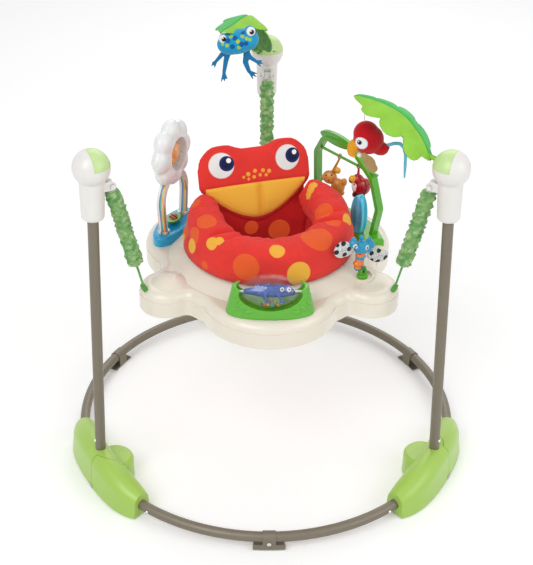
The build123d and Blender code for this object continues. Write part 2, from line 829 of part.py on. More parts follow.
def lizard():
    # Long body with a head and a tail, threaded on the axle
    body = egg(30, 13)
    head = Pos(32, 0, 4) * egg(15, 11)
    tail = Pos(-34, 0, 0) * Rot(0, -90, 0) * Cone(9, 3, 26)
    crest = [Pos(-18 + 12 * step, 0, 14) * Rot(90, 0, 0) * Cylinder(5, 5) for step in range(4)]
    legs = [Pos(x, y, -13) * Cylinder(4, 12) for x in (-16, 16) for y in (-6, 6)]
    shape = body + head + tail + crest + legs
    shape -= Rot(0, 90, 0) * Cylinder(axle_diameter / 2, 4 * roller_half_length)
    return Pos(roller_centre) * shape


def cradle():
    # Oval dish with a trough for the roller and a cheek at each end for the axle
    dish = extrude(Ellipse(cradle_half_length, cradle_half_width), cradle_rise, taper=cradle_taper)
    dish = fillet(dish.faces().sort_by(Axis.Z)[-1].edges(), cradle_round)
    cheeks = []
    for side in (-1, 1):
        place = Pos(side * (cradle_half_length - cheek_width), 0, 0)
        post = Rot(0, 90, 0) * Cylinder(cheek_radius, cheek_width)
        stem = Pos(0, 0, -roller_lift / 2) * Box(cheek_width, 2 * cheek_radius, roller_lift)
        cheeks.append(place * Pos(0, 0, roller_lift) * (post + stem))
    body = dish + cheeks
    room = Cylinder(roller_radius + roller_room, 2 * (roller_half_length + roller_room))
    body -= Pos(0, 0, roller_lift) * Rot(0, 90, 0) * room
    axle_hole = Rot(0, 90, 0) * Cylinder(axle_diameter / 2 + axle_play, 4 * cradle_half_length)
    body -= Pos(0, 0, roller_lift) * axle_hole
    return Pos(polar(roller_place, 270, tray_top)) * body


# Frame of the left station: X along the tray's edge, Y outwards, Z up
sky_plane = Plane(
    origin=polar(sky_place, sky_angle, tray_top), x_dir=polar(1, sky_angle - 90), z_dir=(0, 0, 1)
)


def sky_base(tray):
    base = Pos(0, 0, -10) * extrude(Ellipse(sky_half_width, sky_half_depth), sky_rise + 10)
    base = fillet(base.faces().sort_by(Axis.Z)[-1].edges(), 8)
    return largest(placed(sky_plane, base) - tray)


def rainbow():
    # Flat band bent to an arch, with a round foot on each end
    rise = rainbow_rise
    span = rainbow_half_span
    outer = make_face([
        Line((-span, 0), (-span - 8, rise * 0.55)),
        ThreePointArc((-span - 8, rise * 0.55), (0, rise), (span + 8, rise * 0.55)),
        Line((span + 8, rise * 0.55), (span, 0)),
        Line((span, 0), (-span, 0)),
    ])
    low = rise - rainbow_band
    side = span - rainbow_band
    inner = make_face([
        Line((-side, 0), (-side - 8, low * 0.55)),
        ThreePointArc((-side - 8, low * 0.55), (0, low), (side + 8, low * 0.55)),
        Line((side + 8, low * 0.55), (side, 0)),
        Line((side, 0), (-side, 0)),
    ])
    band = extrude(Plane.XZ * (outer - inner), rainbow_depth / 2, both=True)
    pads = [Pos(x, 0, 0) * Cylinder(12, 5, align=(Align.CENTER, Align.CENTER, Align.MIN))
            for x in (-span + rainbow_band / 2, span - rainbow_band / 2)]
    return placed(sky_plane, Pos(0, 0, sky_rise) * (band + pads))


cloud_plane = Plane(
    origin=sky_plane.from_local_coords(Vector(0, 0, cloud_lift)),
    x_dir=polar(1, sky_angle - 90), z_dir=-polar(1, sky_angle),
)


def cloud(arch):
    outline = Circle(cloud_core)
    for lobe in range(cloud_lobes):
        outline += Pos(polar(cloud_lobe_place, 360 * lobe / cloud_lobes)) * Circle(cloud_lobe)
    outline = fillet(outline.vertices(), cloud_cleft)
    body = extrude(outline, cloud_depth / 2, both=True)
    rims = body.faces().sort_by(Axis.Z)
    body = fillet(rims[0].edges() + rims[-1].edges(), cloud_round)
    cup = Pos(0, 0, cloud_depth / 2 - 13) * Cylinder(window_radius, 30)
    body -= cup & (Pos(0, 0, cloud_depth) * Box(200, 200, 2 * cloud_depth + 16))
    body += Pos(0, 0, -cloud_depth / 4) * Cylinder(axle_diameter / 2, cloud_depth / 2 + 26)
    return largest(placed(cloud_plane, body) - arch)


def window():
    depth = 12.0
    radius = (window_radius ** 2 + depth ** 2) / (2 * depth)
    shell = Sphere(radius) - Sphere(radius - 2)
    shell = Pos(0, 0, depth - radius) * shell
    shell &= Pos(0, 0, depth) * Box(4 * window_radius, 4 * window_radius, 2 * depth)
    lip = Pos(0, 0, -4) * extrude(Circle(window_radius - 0.1) - Circle(window_radius - 2.5), 5)
    return placed(cloud_plane, Pos(0, 0, cloud_depth / 2) * (shell + lip))


def sun():
    disc = Circle(0.72 * sun_radius)
    for ray in range(sun_rays):
        tip = Pos(0.8 * sun_radius, 0) * RegularPolygon(0.22 * sun_radius, 3)
        disc += Rot(0, 0, 360 * ray / sun_rays) * tip
    body = extrude(disc, 5) + Pos(0, 0, 5) * scale(Sphere(12), by=(1, 1, 0.4))
    body -= Cylinder(axle_diameter / 2 + axle_play, 60)
    return placed(cloud_plane, Pos(0, 0, 4) * body)


def leaf_toy():
    # Oval leaf with a round-backed beetle on it, free on its pin
    body = extrude(Ellipse(leaf_toy_radius, leaf_toy_half_width), leaf_toy_thickness)
    back = Pos(0, 0, leaf_toy_thickness + beetle_rise - beetle_radius) * Sphere(beetle_radius)
    low = (Align.CENTER, Align.CENTER, Align.MIN)
    body += back & Cylinder(beetle_radius, leaf_toy_thickness + beetle_rise, align=low)
    body -= Cylinder(axle_diameter / 2 + axle_play, 2 * leaf_pin_grip)
    return placed(sky_plane, Pos(0, 0, sky_rise + leaf_toy_lift) * body)


def leaf_toy_pin():
    low = (Align.CENTER, Align.CENTER, Align.MIN)
    pin = Cylinder(axle_diameter / 2, leaf_toy_lift + leaf_pin_grip - run_gap, align=low)
    collar = Cylinder(axle_diameter / 2 + 3, leaf_toy_lift - run_gap, align=low)
    return placed(sky_plane, Pos(0, 0, sky_rise) * (pin + collar))


# Frame of the right station: X from the rear leg to the right leg, Y outwards
music_from = polar(*music_left)
music_to = polar(*music_right)
music_span = (music_to - music_from).length
music_run = (music_to - music_from).normalized()
music_plane = Plane(origin=music_from + Vector(0, 0, tray_top), x_dir=music_run, z_dir=(0, 0, 1))


def music_base(tray):
    # Kidney plate that follows the edge of the tray
    near, far = 186.0, 240.0
    section = Pos((near + far) / 2, tray_top + music_rise / 2 - 5) * Rectangle(far - near, music_rise + 10)
    strip = Plane.XZ * section
    first, last = music_right[1] - 6, music_left[1] + 5
    plate = turned(revolve(strip, Axis.Z, last - first), first)
    ends = plate.faces().sort_by(Axis.Z)[-1]
    plate = fillet(ends.edges(), 5)
    return largest(plate - tray)


def music_arch():
    rise = music_arch_rise
    centre = [
        (4, 0), (-2, 0.72 * rise), (20, rise - 8), (0.56 * music_span, rise),
        (0.92 * music_span, 0.72 * rise), (music_span + 8, 0.36 * rise), (music_span - 4, 0),
    ]
    path = FilletPolyline(*centre, radius=16)
    outline = offset(path, music_band / 2, side=Side.BOTH)
    arch = extrude(Plane.XZ * make_face(outline), music_depth / 2, both=True)
    arch &= Pos(music_span / 2, 0, rise) * Box(2 * music_span, 2 * music_depth, 2 * rise)
    leaf = Plane.XZ * (Pos(0.3 * music_span, rise - 2) * Ellipse(0.26 * music_span, 13))
    arch += extrude(leaf, 4, both=True)
    bar = Rot(0, 90, 0) * Cylinder(bar_diameter / 2, music_span - 6)
    bar = Pos(music_span / 2, 0, bar_lift - music_rise) * bar
    return placed(music_plane, Pos(0, 0, music_rise) * (arch + bar))


def soft_plate(outline, depth):
    # Upright plate with eased clefts and edges
    outline = fillet(outline.vertices(), toy_round)
    plate = extrude(Plane.XZ * outline, depth / 2, both=True)
    rims = plate.faces().sort_by(Axis.Y)
    return fillet(rims[0].edges() + rims[-1].edges(), toy_round)


def hanging(place, shape):
    # Toy with a sleeve that runs on the bar; its shape is drawn below the bar
    collar = Rot(0, 90, 0) * Cylinder(bar_diameter / 2 + 3, 10)
    toy = shape + collar
    toy -= Rot(0, 90, 0) * Cylinder(bar_diameter / 2 + bar_play, 200)
    return placed(music_plane, Pos(place, 0, bar_lift) * toy)


def monkey():
    head = Pos(-8, -26) * Circle(19)
    ears = [Pos(-8 + side * 19, -22) * Circle(8) for side in (-1, 1)]
    body = Pos(4, -56) * Ellipse(17, 20)
    link = Pos(0, -8) * Rectangle(8, 16)
    return hanging(0.36 * music_span, soft_plate(head + ears + body + link, toy_depth))


def toucan():
    body = Pos(0, -40) * Ellipse(19, 28)
    beak = Pos(-16, -24) * Circle(11)
    tail = Pos(-4, -66) * Circle(8)
    link = Pos(0, -8) * Rectangle(8, 16)
    return hanging(0.68 * music_span, soft_plate(body + beak + tail + link, toy_depth))


def waterfall():
    drop = Pos(0, 40) * Ellipse(18, 46) & Pos(0, 50) * Rectangle(50, 100)
    shape = soft_plate(drop, toy_depth)
    return placed(music_plane, Pos(0.84 * music_span, -20, music_rise) * shape)


def push_well():
    place = Pos(0.5 * music_span, 12, 0)
    return placed(music_plane, place * Cylinder(push_radius + 0.4, 200))


def push_button():
    place = Pos(0.5 * music_span, 12, music_rise - push_travel - 2)
    stem = Cylinder(push_radius, 2 * push_travel + 4, align=(Align.CENTER, Align.CENTER, Align.MIN))
    stem = fillet(stem.faces().sort_by(Axis.Z)[-1].edges(), 2.5)
    return placed(music_plane, place * stem)


bug_plane = Plane(origin=(*bug_place, tray_top), x_dir=polar(1, bug_facing), z_dir=(0, 0, 1))
bug_pivot = 18.0


def bug_stalk():
    low = (Align.CENTER, Align.CENTER, Align.MIN)
    knob = Cylinder(11, 7, align=low)
    knob = fillet(knob.faces().sort_by(Axis.Z)[-1].edges(), 3)
    yoke = Pos(0, 0, bug_pivot / 2 + 3) * Box(14, 10, bug_pivot)
    yoke += Pos(0, 0, bug_pivot) * Rot(0, 90, 0) * Cylinder(5, 14)
    slot = Pos(0, 0, bug_pivot) * Box(6.4, 30, 15)
    pin = Pos(0, 0, bug_pivot) * Rot(0, 90, 0) * Cylinder(1.6, 14)
    return placed(bug_plane, knob + (yoke - slot) + pin)


def bug_body():
    low = (Align.CENTER, Align.CENTER, Align.MIN)
    tongue = Pos(0, 0, bug_pivot) * (Rot(0, 90, 0) * Cylinder(4.4, 5.6) + Box(5.6, 8, 14, align=low))
    collar = Pos(0, 0, bug_pivot + 10) * Cone(9, 12, bug_height - bug_pivot - 26, align=low)
    head = Pos(0, 0, bug_height) * scale(Sphere(24), by=(0.92, 0.55, 1))
    bumps = [Pos(x, 0, bug_height + 22) * Sphere(6) for x in (-13, 0, 13)]
    body = tongue + collar + head + bumps
    body -= Pos(0, 0, bug_pivot) * Rot(0, 90, 0) * Cylinder(1.6 + axle_play, 30)
    return placed(bug_plane, body)


def bug_wing_pair(body):
    wings = []
    for side in (-1, 1):
        disc = scale(Cylinder(bug_wing_radius, 8), by=(1.25, 1, 1))
        disc = Pos(side * (bug_wing_reach - 1.25 * bug_wing_radius), 2, bug_height - 8) * Rot(90, 0, 0) * disc
        wings += (placed(bug_plane, disc) - body).solids()
    return wings


def leaf_plane(hub_name, tip):
    # Leaf axis from the top of the hub's slot to the tip; Z is the upper side
    angle = corner_angles[hub_name]
    root = turned(Pos(hub_plane.from_local_coords(Vector(0, 0, 0))), angle).position
    out = (Vector(*tip) - root).normalized()
    side = Vector(0, 0, 1).cross(out).normalized()
    return Plane(origin=root, x_dir=out, z_dir=out.cross(side))


def leaf_blade():
    # Lobed outline cut from a slab that is bent to an arc and droops at the tip
    start = stem_show + ball_radius
    lobes = Pos(start + leaf_length / 2, 0) * Ellipse(leaf_length / 2, leaf_spine)
    for share, reach, radius in leaf_lobes:
        for side in (-1, 1):
            lobes += Pos(start + share * leaf_length, side * reach) * Circle(radius)
    bend = Circle(leaf_bend + leaf_thickness) - Circle(leaf_bend)
    bend = Pos(start + leaf_crest * leaf_length, -leaf_bend) * bend
    slab = extrude(Plane.XZ * bend, leaf_length / 2, both=True)
    blade = extrude(lobes, leaf_length / 2, both=True) & slab
    return largest(blade) + leaf_stem(0.0)


def leaf_stem(play):
    # Flat tongue from inside the hub's cap into the leaf
    length = 2 * stem_show + ball_wall
    tongue = Box(length, stem_width + 2 * play, stem_thickness + 2 * play)
    return Pos(ball_radius - ball_wall - 3 + length / 2, 0, stem_rise) * tongue


def leaf_underside(share):
    # Point under the leaf's middle line
    along = (share - leaf_crest) * leaf_length
    below = leaf_bend - sqrt(leaf_bend ** 2 - along ** 2)
    return Vector(stem_show + ball_radius + share * leaf_length, 0, -below)


def cord(top, drop):
    run = Cylinder(cord_diameter / 2, drop - 2 * cord_gap, align=(Align.CENTER, Align.CENTER, Align.MAX))
    return Pos(top) * Pos(0, 0, -cord_gap) * run


gather = 0.97


def plump(half_height, radius):
    # Stuffed round form on Z, full in the middle and drawn in to a small gather at each end
    sections = []
    for share in (-gather, -0.75, -0.35, 0.35, 0.75, gather):
        sections.append(Pos(0, 0, share * half_height) * Circle(radius * sqrt(1 - share ** 2)))
    return loft(sections)


def limb(length, radius):
    # Limp stuffed leg that hangs from Z 0: full thigh, thin shin, flared end
    thigh = Pos(0, 0, -0.24 * length) * plump(0.3 * length, radius)
    shin = Pos(0, 0, -0.62 * length) * plump(0.34 * length, 0.66 * radius)
    end = Pos(0, 0, -0.9 * length) * plump(0.12 * length, 0.9 * radius)
    return thigh + shin + end


def cut_by(body, pieces):
    return [largest(piece - body) for piece in pieces]


def frog(top):
    # Round body with two eye domes and four limp legs
    place = Pos(top) * Pos(0, 0, -frog_body_height / 2) * Rot(0, frog_tilt, 0)
    body = plump(frog_body_height / 2, frog_body_radius)
    for side in (-1, 1):
        body += Pos(side * 0.74 * frog_body_radius, -0.3 * frog_body_radius, frog_eye) * Sphere(frog_eye)
    body = place * body
    legs = []
    for x, y, lean, length in frog_legs:
        hip = Pos(x * frog_body_radius, y * frog_body_radius, -0.26 * frog_body_height)
        legs.append(place * hip * Rot(0, lean, 0) * limb(length, frog_leg_radius))
    return body, cut_by(body, legs)


def parrot(top):
    # Stuffed bird in side view: head and beak towards -X, rump and tail towards +X
    place = Pos(top) * Pos(0, 0, -gather * parrot_height / 2)
    body = plump(parrot_height / 2, parrot_radius)
    lower = -0.2 * parrot_height
    rump = Rot(0, 90, 0) * plump(0.95 * parrot_radius, 0.66 * parrot_radius)
    body += Pos(0.75 * parrot_radius, 0, lower) * rump
    body = place * body
    beak = Pos(-0.85 * parrot_radius, 0, lower) * plump(0.36 * parrot_height, 0.5 * parrot_radius)
    wing = Rot(0, -14, 0) * limb(0.9 * parrot_height, 0.42 * parrot_radius)
    wing = Pos(0, -0.7 * parrot_radius, -0.3 * parrot_height) * wing
    tail_root = Pos(1.5 * parrot_radius, 0, -0.16 * parrot_height)
    tail = Cone(3, 1.6, parrot_tail, align=(Align.CENTER, Align.CENTER, Align.MIN))
    tail = tail_root * Rot(0, 76, 0) * tail
    return body, cut_by(body, [place * beak, place * wing, place * tail])


def export(node, shapes):
    solids = []
    for shape in shapes if isinstance(shapes, list) else [shapes]:
        solids += shape.solids()
    export_step(solids[0] if len(solids) == 1 else Compound(children=solids), f"parts/{node}.step")


def main():
    os.makedirs("parts", exist_ok=True)
    corners = list(corner_angles.items())
    everywhere = list(corner_angles.values())
    for name, angle in (("front", 210.0), ("right", 330.0), ("left", 90.0)):
        export(f"ring_tube_{name}", ring_tube(angle))
    housing, knuckle = foot_pair()
    top_sleeve, top_post, top_hub = sleeve(), post_tube(), hub()
    for name, angle in corners:
        export(f"post_{name}", turned(top_post, angle))
        export(f"foot_{name}", turned(housing, angle))
        export(f"hub_{name}", turned(top_hub, angle))
        export(f"sleeve_{name}", turned(top_sleeve, angle))
    button = snap_button()
    buttons = [ring_button_place(-button_angle) * button, ring_button_place(button_angle) * button]
    buttons.append(post_button_place * button)
    groups = {
        "foot_knuckles": [knuckle], "foot_stubs": foot_stubs(), "snap_buttons": buttons,
        "springs": [spring()], "spring_plugs": spring_plugs(), "straps": [strap()],
    }
    for node, shapes in groups.items():
        export(node, [turned(shape, angle) for angle in everywhere for shape in shapes])
    export("ring_saddles", [turned(saddle(), angle) for angle in saddle_angles])
    pads = [turned(foot_plate(), angle) for angle in everywhere]
    export("floor_pads", pads + [turned(saddle_foot(), angle) for angle in saddle_angles])
    fasteners = [turned(piece, angle) for angle in everywhere for piece in foot_screws() + [hanger_pin()]]
    export("frame_fasteners", fasteners + [turned(saddle_screw(), angle) for angle in saddle_angles])

    tray = tray_shell()
    export("tray_top", tray + tray_bosses() - Cylinder(well_radius, 4 * collar_height))
    export("tray_cover", tray_cover())
    export("tray_screws", [tray_screw(angle) for angle in saddle_angles + tuple(everywhere)])
    for node, shape in (
        ("seat_ring", seat_ring()), ("seat_roll", seat_roll()), ("seat_back", seat_back()),
        ("seat_sling", seat_sling()),
    ):
        export(node, turned(shape, seat_turn))
    export("roller_cradle", largest(cradle() - tray))
    export("roller_shell_left", roller_half(-1))
    export("roller_shell_right", roller_half(1))
    export("roller_axle", roller_axle())
    export("roller_lizard", lizard())
    arch = rainbow()
    export("sky_base", sky_base(tray) + leaf_toy_pin())
    export("rainbow_arch", arch)
    export("cloud", cloud(arch))
    export("cloud_window", window())
    export("sun_spinner", sun())
    export("leaf_spinner", leaf_toy())
    export("music_base", largest(music_base(tray) - push_well()))
    export("music_arch", music_arch())
    export("monkey", monkey())
    export("toucan", toucan())
    export("waterfall", waterfall())
    export("push_button", push_button())
    bug = bug_body()
    export("bug_stalk", largest(bug_stalk() - tray))
    export("bug_body", bug)
    export("bug_wings", bug_wing_pair(bug))
    planes = {"right": leaf_plane("right", right_leaf_tip), "rear": leaf_plane("rear", rear_leaf_tip)}
    blade = leaf_blade()
    caps = []
    for name, angle in corners:
        cap = turned(hub_cap(), angle)
        if name in planes:
            export(f"leaf_{name}", placed(planes[name], blade))
            cap -= placed(planes[name], leaf_stem(stem_play))
        caps.append(cap)
    export("hub_caps", caps)
    frog_hook = planes["rear"].from_local_coords(leaf_underside(hang_share))
    parrot_hook = planes["right"].from_local_coords(leaf_underside(hang_share))
    export("frog_cord", cord(frog_hook, frog_drop))
    export("parrot_cord", cord(parrot_hook, parrot_drop))
    body, limbs = frog(frog_hook - Vector(0, 0, frog_drop))
    export("frog_body", body)
    export("frog_limbs", limbs)
    body, trim = parrot(parrot_hook - Vector(0, 0, parrot_drop))
    export("parrot_body", body)
    export("parrot_trim", trim)


if __name__ == "__main__":
    main()
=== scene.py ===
import bpy
import bmesh
from math import atan2, cos, exp, hypot, pi, radians, sin, sqrt, tan
from mathutils import Matrix, Vector, noise
from mathutils.bvhtree import BVHTree


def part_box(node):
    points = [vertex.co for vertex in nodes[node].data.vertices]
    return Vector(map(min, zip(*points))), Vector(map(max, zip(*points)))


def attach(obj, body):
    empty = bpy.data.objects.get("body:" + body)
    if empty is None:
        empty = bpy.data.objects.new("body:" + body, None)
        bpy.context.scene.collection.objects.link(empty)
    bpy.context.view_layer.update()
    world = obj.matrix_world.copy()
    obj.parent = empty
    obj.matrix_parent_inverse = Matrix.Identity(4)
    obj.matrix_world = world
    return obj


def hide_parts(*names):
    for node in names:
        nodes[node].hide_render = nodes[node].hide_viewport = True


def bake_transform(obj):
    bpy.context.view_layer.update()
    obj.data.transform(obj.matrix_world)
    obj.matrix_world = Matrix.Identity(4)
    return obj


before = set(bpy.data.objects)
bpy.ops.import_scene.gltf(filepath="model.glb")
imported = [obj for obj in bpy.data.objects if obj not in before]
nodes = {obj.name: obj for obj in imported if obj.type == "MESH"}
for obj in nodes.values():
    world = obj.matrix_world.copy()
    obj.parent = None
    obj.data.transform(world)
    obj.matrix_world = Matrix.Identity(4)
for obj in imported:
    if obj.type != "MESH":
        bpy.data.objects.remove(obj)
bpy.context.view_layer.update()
scene = bpy.context.scene
print("frame loaded:", len(nodes), "nodes")

# places shared by several pieces, metres and degrees
jumper = {
    "corners": {"left": 210.0, "right": 330.0, "rear": 90.0},
    "hub": (0.371, 0.719), "pin": (0.3377, 0.6776), "anchor": (0.277, 0.418),
    "trayTop": 0.434, "seatBase": 0.4657,
}


def polar(radius, angle, height=0.0):
    return Vector((radius * cos(radians(angle)), radius * sin(radians(angle)), height))


def turnZ(angle):
    return Matrix.Rotation(radians(angle), 4, "Z")


# camera at the photograph's view
photoView = {
    "size": (533, 565), "focalPixels": 1179.8, "sensor": 36.0,
    "azimuth": -1.237, "elevation": 32.728, "roll": 0.751,
    "distance": 2.5269, "target": (-0.0016, 0.0613, 0.3181),
}


def makeCamera(view):
    az, el, tilt = (radians(view[key]) for key in ("azimuth", "elevation", "roll"))
    back = Vector((sin(az) * cos(el), -cos(az) * cos(el), sin(el)))
    right = (-back).cross(Vector((0, 0, 1))).normalized()
    up = right.cross(-back)
    across = right * cos(tilt) + up * sin(tilt)
    upward = up * cos(tilt) - right * sin(tilt)
    data = bpy.data.cameras.new("photoCamera")
    data.lens = view["focalPixels"] * view["sensor"] / max(view["size"])
    data.sensor_width = view["sensor"]
    camera = bpy.data.objects.new("photoCamera", data)
    scene.collection.objects.link(camera)
    turn = Matrix((across, upward, back)).transposed().to_4x4()
    camera.matrix_world = Matrix.Translation(Vector(view["target"]) + back * view["distance"]) @ turn
    scene.camera = camera
    return camera


camera = makeCamera(photoView)


def sightLine(x, y):
    # ray from the camera through a pixel of the photograph
    width, height = photoView["size"]
    focal = photoView["focalPixels"]
    ray = Vector(((x - width / 2) / focal, (height / 2 - y) / focal, -1))
    return camera.matrix_world.translation, (camera.matrix_world.to_3x3() @ ray).normalized()


# stage and light
studio = {
    "ambient": 0.55, "floorColour": (0.97, 0.97, 0.97), "floorGlow": 0.13,
    "floorSize": 9.0, "floorDrop": -0.0004, "floorRoughness": 0.9, "floorShine": 0.1, "aim": (0, 0, 0.4),
    "lamps": (
        ("keyLamp", (-1.6, -2.2, 3.0), 2.2, 52.0),
        ("fillLamp", (2.4, -1.4, 2.0), 2.0, 24.0),
        ("backLamp", (0.4, 2.6, 2.6), 2.4, 26.0),
    ),
}


def seenDirectly(tree):
    # 1 for rays from the camera, and for those that metal and glass pass on
    path = tree.nodes.new("ShaderNodeLightPath")
    seen = path.outputs["Is Camera Ray"]
    for kind in ("Is Glossy Ray", "Is Transmission Ray"):
        either = tree.nodes.new("ShaderNodeMath")
        either.operation = "MAXIMUM"
        tree.links.new(seen, either.inputs[0])
        tree.links.new(path.outputs[kind], either.inputs[1])
        seen = either.outputs[0]
    return seen


def lightWorld():
    world = bpy.data.worlds.new("studioWorld")
    scene.world = world
    world.use_nodes = True
    tree = world.node_tree
    background = tree.nodes["Background"]
    background.inputs["Color"].default_value = (1, 1, 1, 1)
    level = tree.nodes.new("ShaderNodeMapRange")
    level.inputs["To Min"].default_value = studio["ambient"]
    level.inputs["To Max"].default_value = 1.0
    tree.links.new(seenDirectly(tree), level.inputs["Value"])
    tree.links.new(level.outputs["Result"], background.inputs["Strength"])


def hangLamps():
    for name, place, size, power in studio["lamps"]:
        data = bpy.data.lights.new(name, "AREA")
        data.size = size
        data.energy = power
        lamp = bpy.data.objects.new(name, data)
        lamp.location = place
        lamp.rotation_euler = (Vector(studio["aim"]) - Vector(place)).to_track_quat("-Z", "Y").to_euler()
        scene.collection.objects.link(lamp)


def layFloor():
    bm = bmesh.new()
    bmesh.ops.create_grid(bm, x_segments=1, y_segments=1, size=studio["floorSize"])
    bmesh.ops.translate(bm, verts=bm.verts, vec=(0, 0, studio["floorDrop"]))
    mesh = bpy.data.meshes.new("floor")
    bm.to_mesh(mesh)
    bm.free()
    floor = bpy.data.objects.new("floor", mesh)
    scene.collection.objects.link(floor)
    material = bpy.data.materials.new("studioFloor")
    material.use_nodes = True
    tree = material.node_tree
    shader = tree.nodes["Principled BSDF"]
    shader.inputs["Base Color"].default_value = (*studio["floorColour"], 1)
    shader.inputs["Roughness"].default_value = studio["floorRoughness"]
    shader.inputs["Specular IOR Level"].default_value = studio["floorShine"]
    # white to the camera and in mirrors, with no more light on the object
    shader.inputs["Emission Color"].default_value = (1, 1, 1, 1)
    glow = tree.nodes.new("ShaderNodeMath")
    glow.operation = "MULTIPLY"
    tree.links.new(seenDirectly(tree), glow.inputs[0])
    glow.inputs[1].default_value = studio["floorGlow"]
    tree.links.new(glow.outputs[0], shader.inputs["Emission Strength"])
    mesh.materials.append(material)


scene.view_settings.view_transform = "Standard"
lightWorld()
hangLamps()
layFloor()
print("camera, light and floor set")


# finishes
def paint(code):
    # web colour to linear light
    parts = [int(code[i:i + 2], 16) / 255 for i in (1, 3, 5)]
    return tuple(p / 12.92 if p <= 0.04045 else ((p + 0.055) / 1.055) ** 2.4 for p in parts)


def shade(colour, level):
    return tuple(min(1.0, c * level) for c in colour)


class Finish:
    # a material under construction: shader, object coordinates and small node helpers
    def __init__(self, name, roughness, **fixed):
        self.material = bpy.data.materials.new(name)
        self.material.use_nodes = True
        self.tree = self.material.node_tree
        self.shader = self.tree.nodes["Principled BSDF"]
        self.shader.inputs["Roughness"].default_value = roughness
        for socket, value in fixed.items():
            self.shader.inputs[socket.replace("_", " ")].default_value = value
        self.place = self.add("ShaderNodeTexCoord").outputs["Object"]

    def add(self, kind, **settings):
        node = self.tree.nodes.new(kind)
        for key, value in settings.items():
            setattr(node, key, value)
        return node

    def link(self, source, target):
        self.tree.links.new(source, target)

    def noise(self, scale, detail=3.0, roughness=0.55, place=None):
        node = self.add("ShaderNodeTexNoise")
        node.inputs["Scale"].default_value = scale
        node.inputs["Detail"].default_value = detail
        node.inputs["Roughness"].default_value = roughness
        self.link(place or self.place, node.inputs["Vector"])
        return node.outputs["Fac"]

    def wave(self, scale, direction, place=None):
        node = self.add("ShaderNodeTexWave", bands_direction=direction)
        node.inputs["Scale"].default_value = scale
        node.inputs["Distortion"].default_value = 0.4
        self.link(place or self.place, node.inputs["Vector"])
        return node.outputs["Fac"]

    def spread(self, value, low, high, fromLow=0.3, fromHigh=0.7):
        node = self.add("ShaderNodeMapRange")
        node.inputs["From Min"].default_value = fromLow
        node.inputs["From Max"].default_value = fromHigh
        node.inputs["To Min"].default_value = low
        node.inputs["To Max"].default_value = high
        self.link(value, node.inputs["Value"])
        return node.outputs["Result"]

    def math(self, operation, first, second=None):
        node = self.add("ShaderNodeMath", operation=operation)
        for socket, value in zip(node.inputs, (first, second)):
            if value is None:
                continue
            if isinstance(value, (int, float)):
                socket.default_value = value
            else:
                self.link(value, socket)
        return node.outputs[0]

    def mix(self, factor, first, second):
        node = self.add("ShaderNodeMix", data_type="RGBA")
        for socket, value in ((node.inputs[0], factor), (node.inputs[6], first), (node.inputs[7], second)):
            if isinstance(value, (int, float)):
                socket.default_value = value
            elif isinstance(value, tuple):
                socket.default_value = (*value, 1)
            else:
                self.link(value, socket)
        return node.outputs[2]

    def split(self, vector):
        node = self.add("ShaderNodeSeparateXYZ")
        self.link(vector, node.inputs[0])
        return node.outputs

    def local(self, location, rotation):
        # x, y and z in a frame of its own
        node = self.add("ShaderNodeMapping", vector_type="TEXTURE")
        node.inputs["Location"].default_value = location
        node.inputs["Rotation"].default_value = rotation
        self.link(self.place, node.inputs["Vector"])
        return self.split(node.outputs[0])

    def within(self, distance, radius, soft=0.0006):
        # 1 inside the radius, 0 outside, with a fine edge
        return self.spread(distance, 1.0, 0.0, radius - soft, radius + soft)

    def away(self, point, place=None):
        node = self.add("ShaderNodeVectorMath", operation="DISTANCE")
        self.link(place or self.place, node.inputs[0])
        node.inputs[1].default_value = tuple(point)
        return node.outputs["Value"]

    def colour(self, value):
        self.link(value, self.shader.inputs["Base Color"])
        return self

    def rough(self, value):
        self.link(value, self.shader.inputs["Roughness"])
        return self

    def bump(self, height, strength, distance=0.001):
        node = self.add("ShaderNodeBump")
        node.inputs["Strength"].default_value = strength
        node.inputs["Distance"].default_value = distance
        self.link(height, node.inputs["Height"])
        self.link(node.outputs["Normal"], self.shader.inputs["Normal"])
        return self


def plastic(name, colour, roughness=0.28, peel=0.025, **fixed):
    # moulded plastic: faint cloudiness in the colour, orange peel and uneven gloss
    look = Finish(name, roughness, **{"Coat_Weight": 0.15, "Coat_Roughness": 0.1, **fixed})
    cloudy = look.noise(6.0)
    look.colour(look.mix(look.spread(cloudy, 0.0, 1.0), shade(colour, 0.98), shade(colour, 1.015)))
    look.rough(look.spread(look.noise(24.0), roughness - 0.025, roughness + 0.025))
    look.bump(look.noise(520.0, 2.0), peel, 0.0002)
    return look.material


def coatedSteel(name, colour):
    # powder coat: fine speckle in colour and surface
    look = Finish(name, 0.42, Metallic=0.25)
    speckle = look.noise(900.0, 2.0)
    look.colour(look.mix(look.spread(speckle, 0.0, 1.0), shade(colour, 0.88), shade(colour, 1.1)))
    look.rough(look.spread(look.noise(80.0), 0.34, 0.5))
    look.bump(speckle, 0.12, 0.0003)
    return look.material


def platedSteel(name):
    look = Finish(name, 0.18, Metallic=1.0)
    rub = look.noise(240.0, 3.0)
    look.colour(look.mix(look.spread(rub, 0.0, 1.0), (0.62, 0.62, 0.62), (0.78, 0.78, 0.76)))
    look.rough(look.spread(rub, 0.14, 0.3))
    look.bump(rub, 0.05, 0.0002)
    return look.material


def clearPlastic(name, colour, film=0.035, roughness=0.05):
    # thin clear shell: light passes, each surface keeps a faint mirror film
    look = Finish(name, roughness, Metallic=1.0)
    haze = look.noise(30.0)
    look.colour(look.mix(look.spread(haze, 0.0, 1.0), shade(colour, 0.94), colour))
    look.rough(look.spread(look.noise(90.0), roughness, roughness + 0.05))
    look.link(look.spread(haze, film * 0.9, film * 1.2), look.shader.inputs["Alpha"])
    return look.material


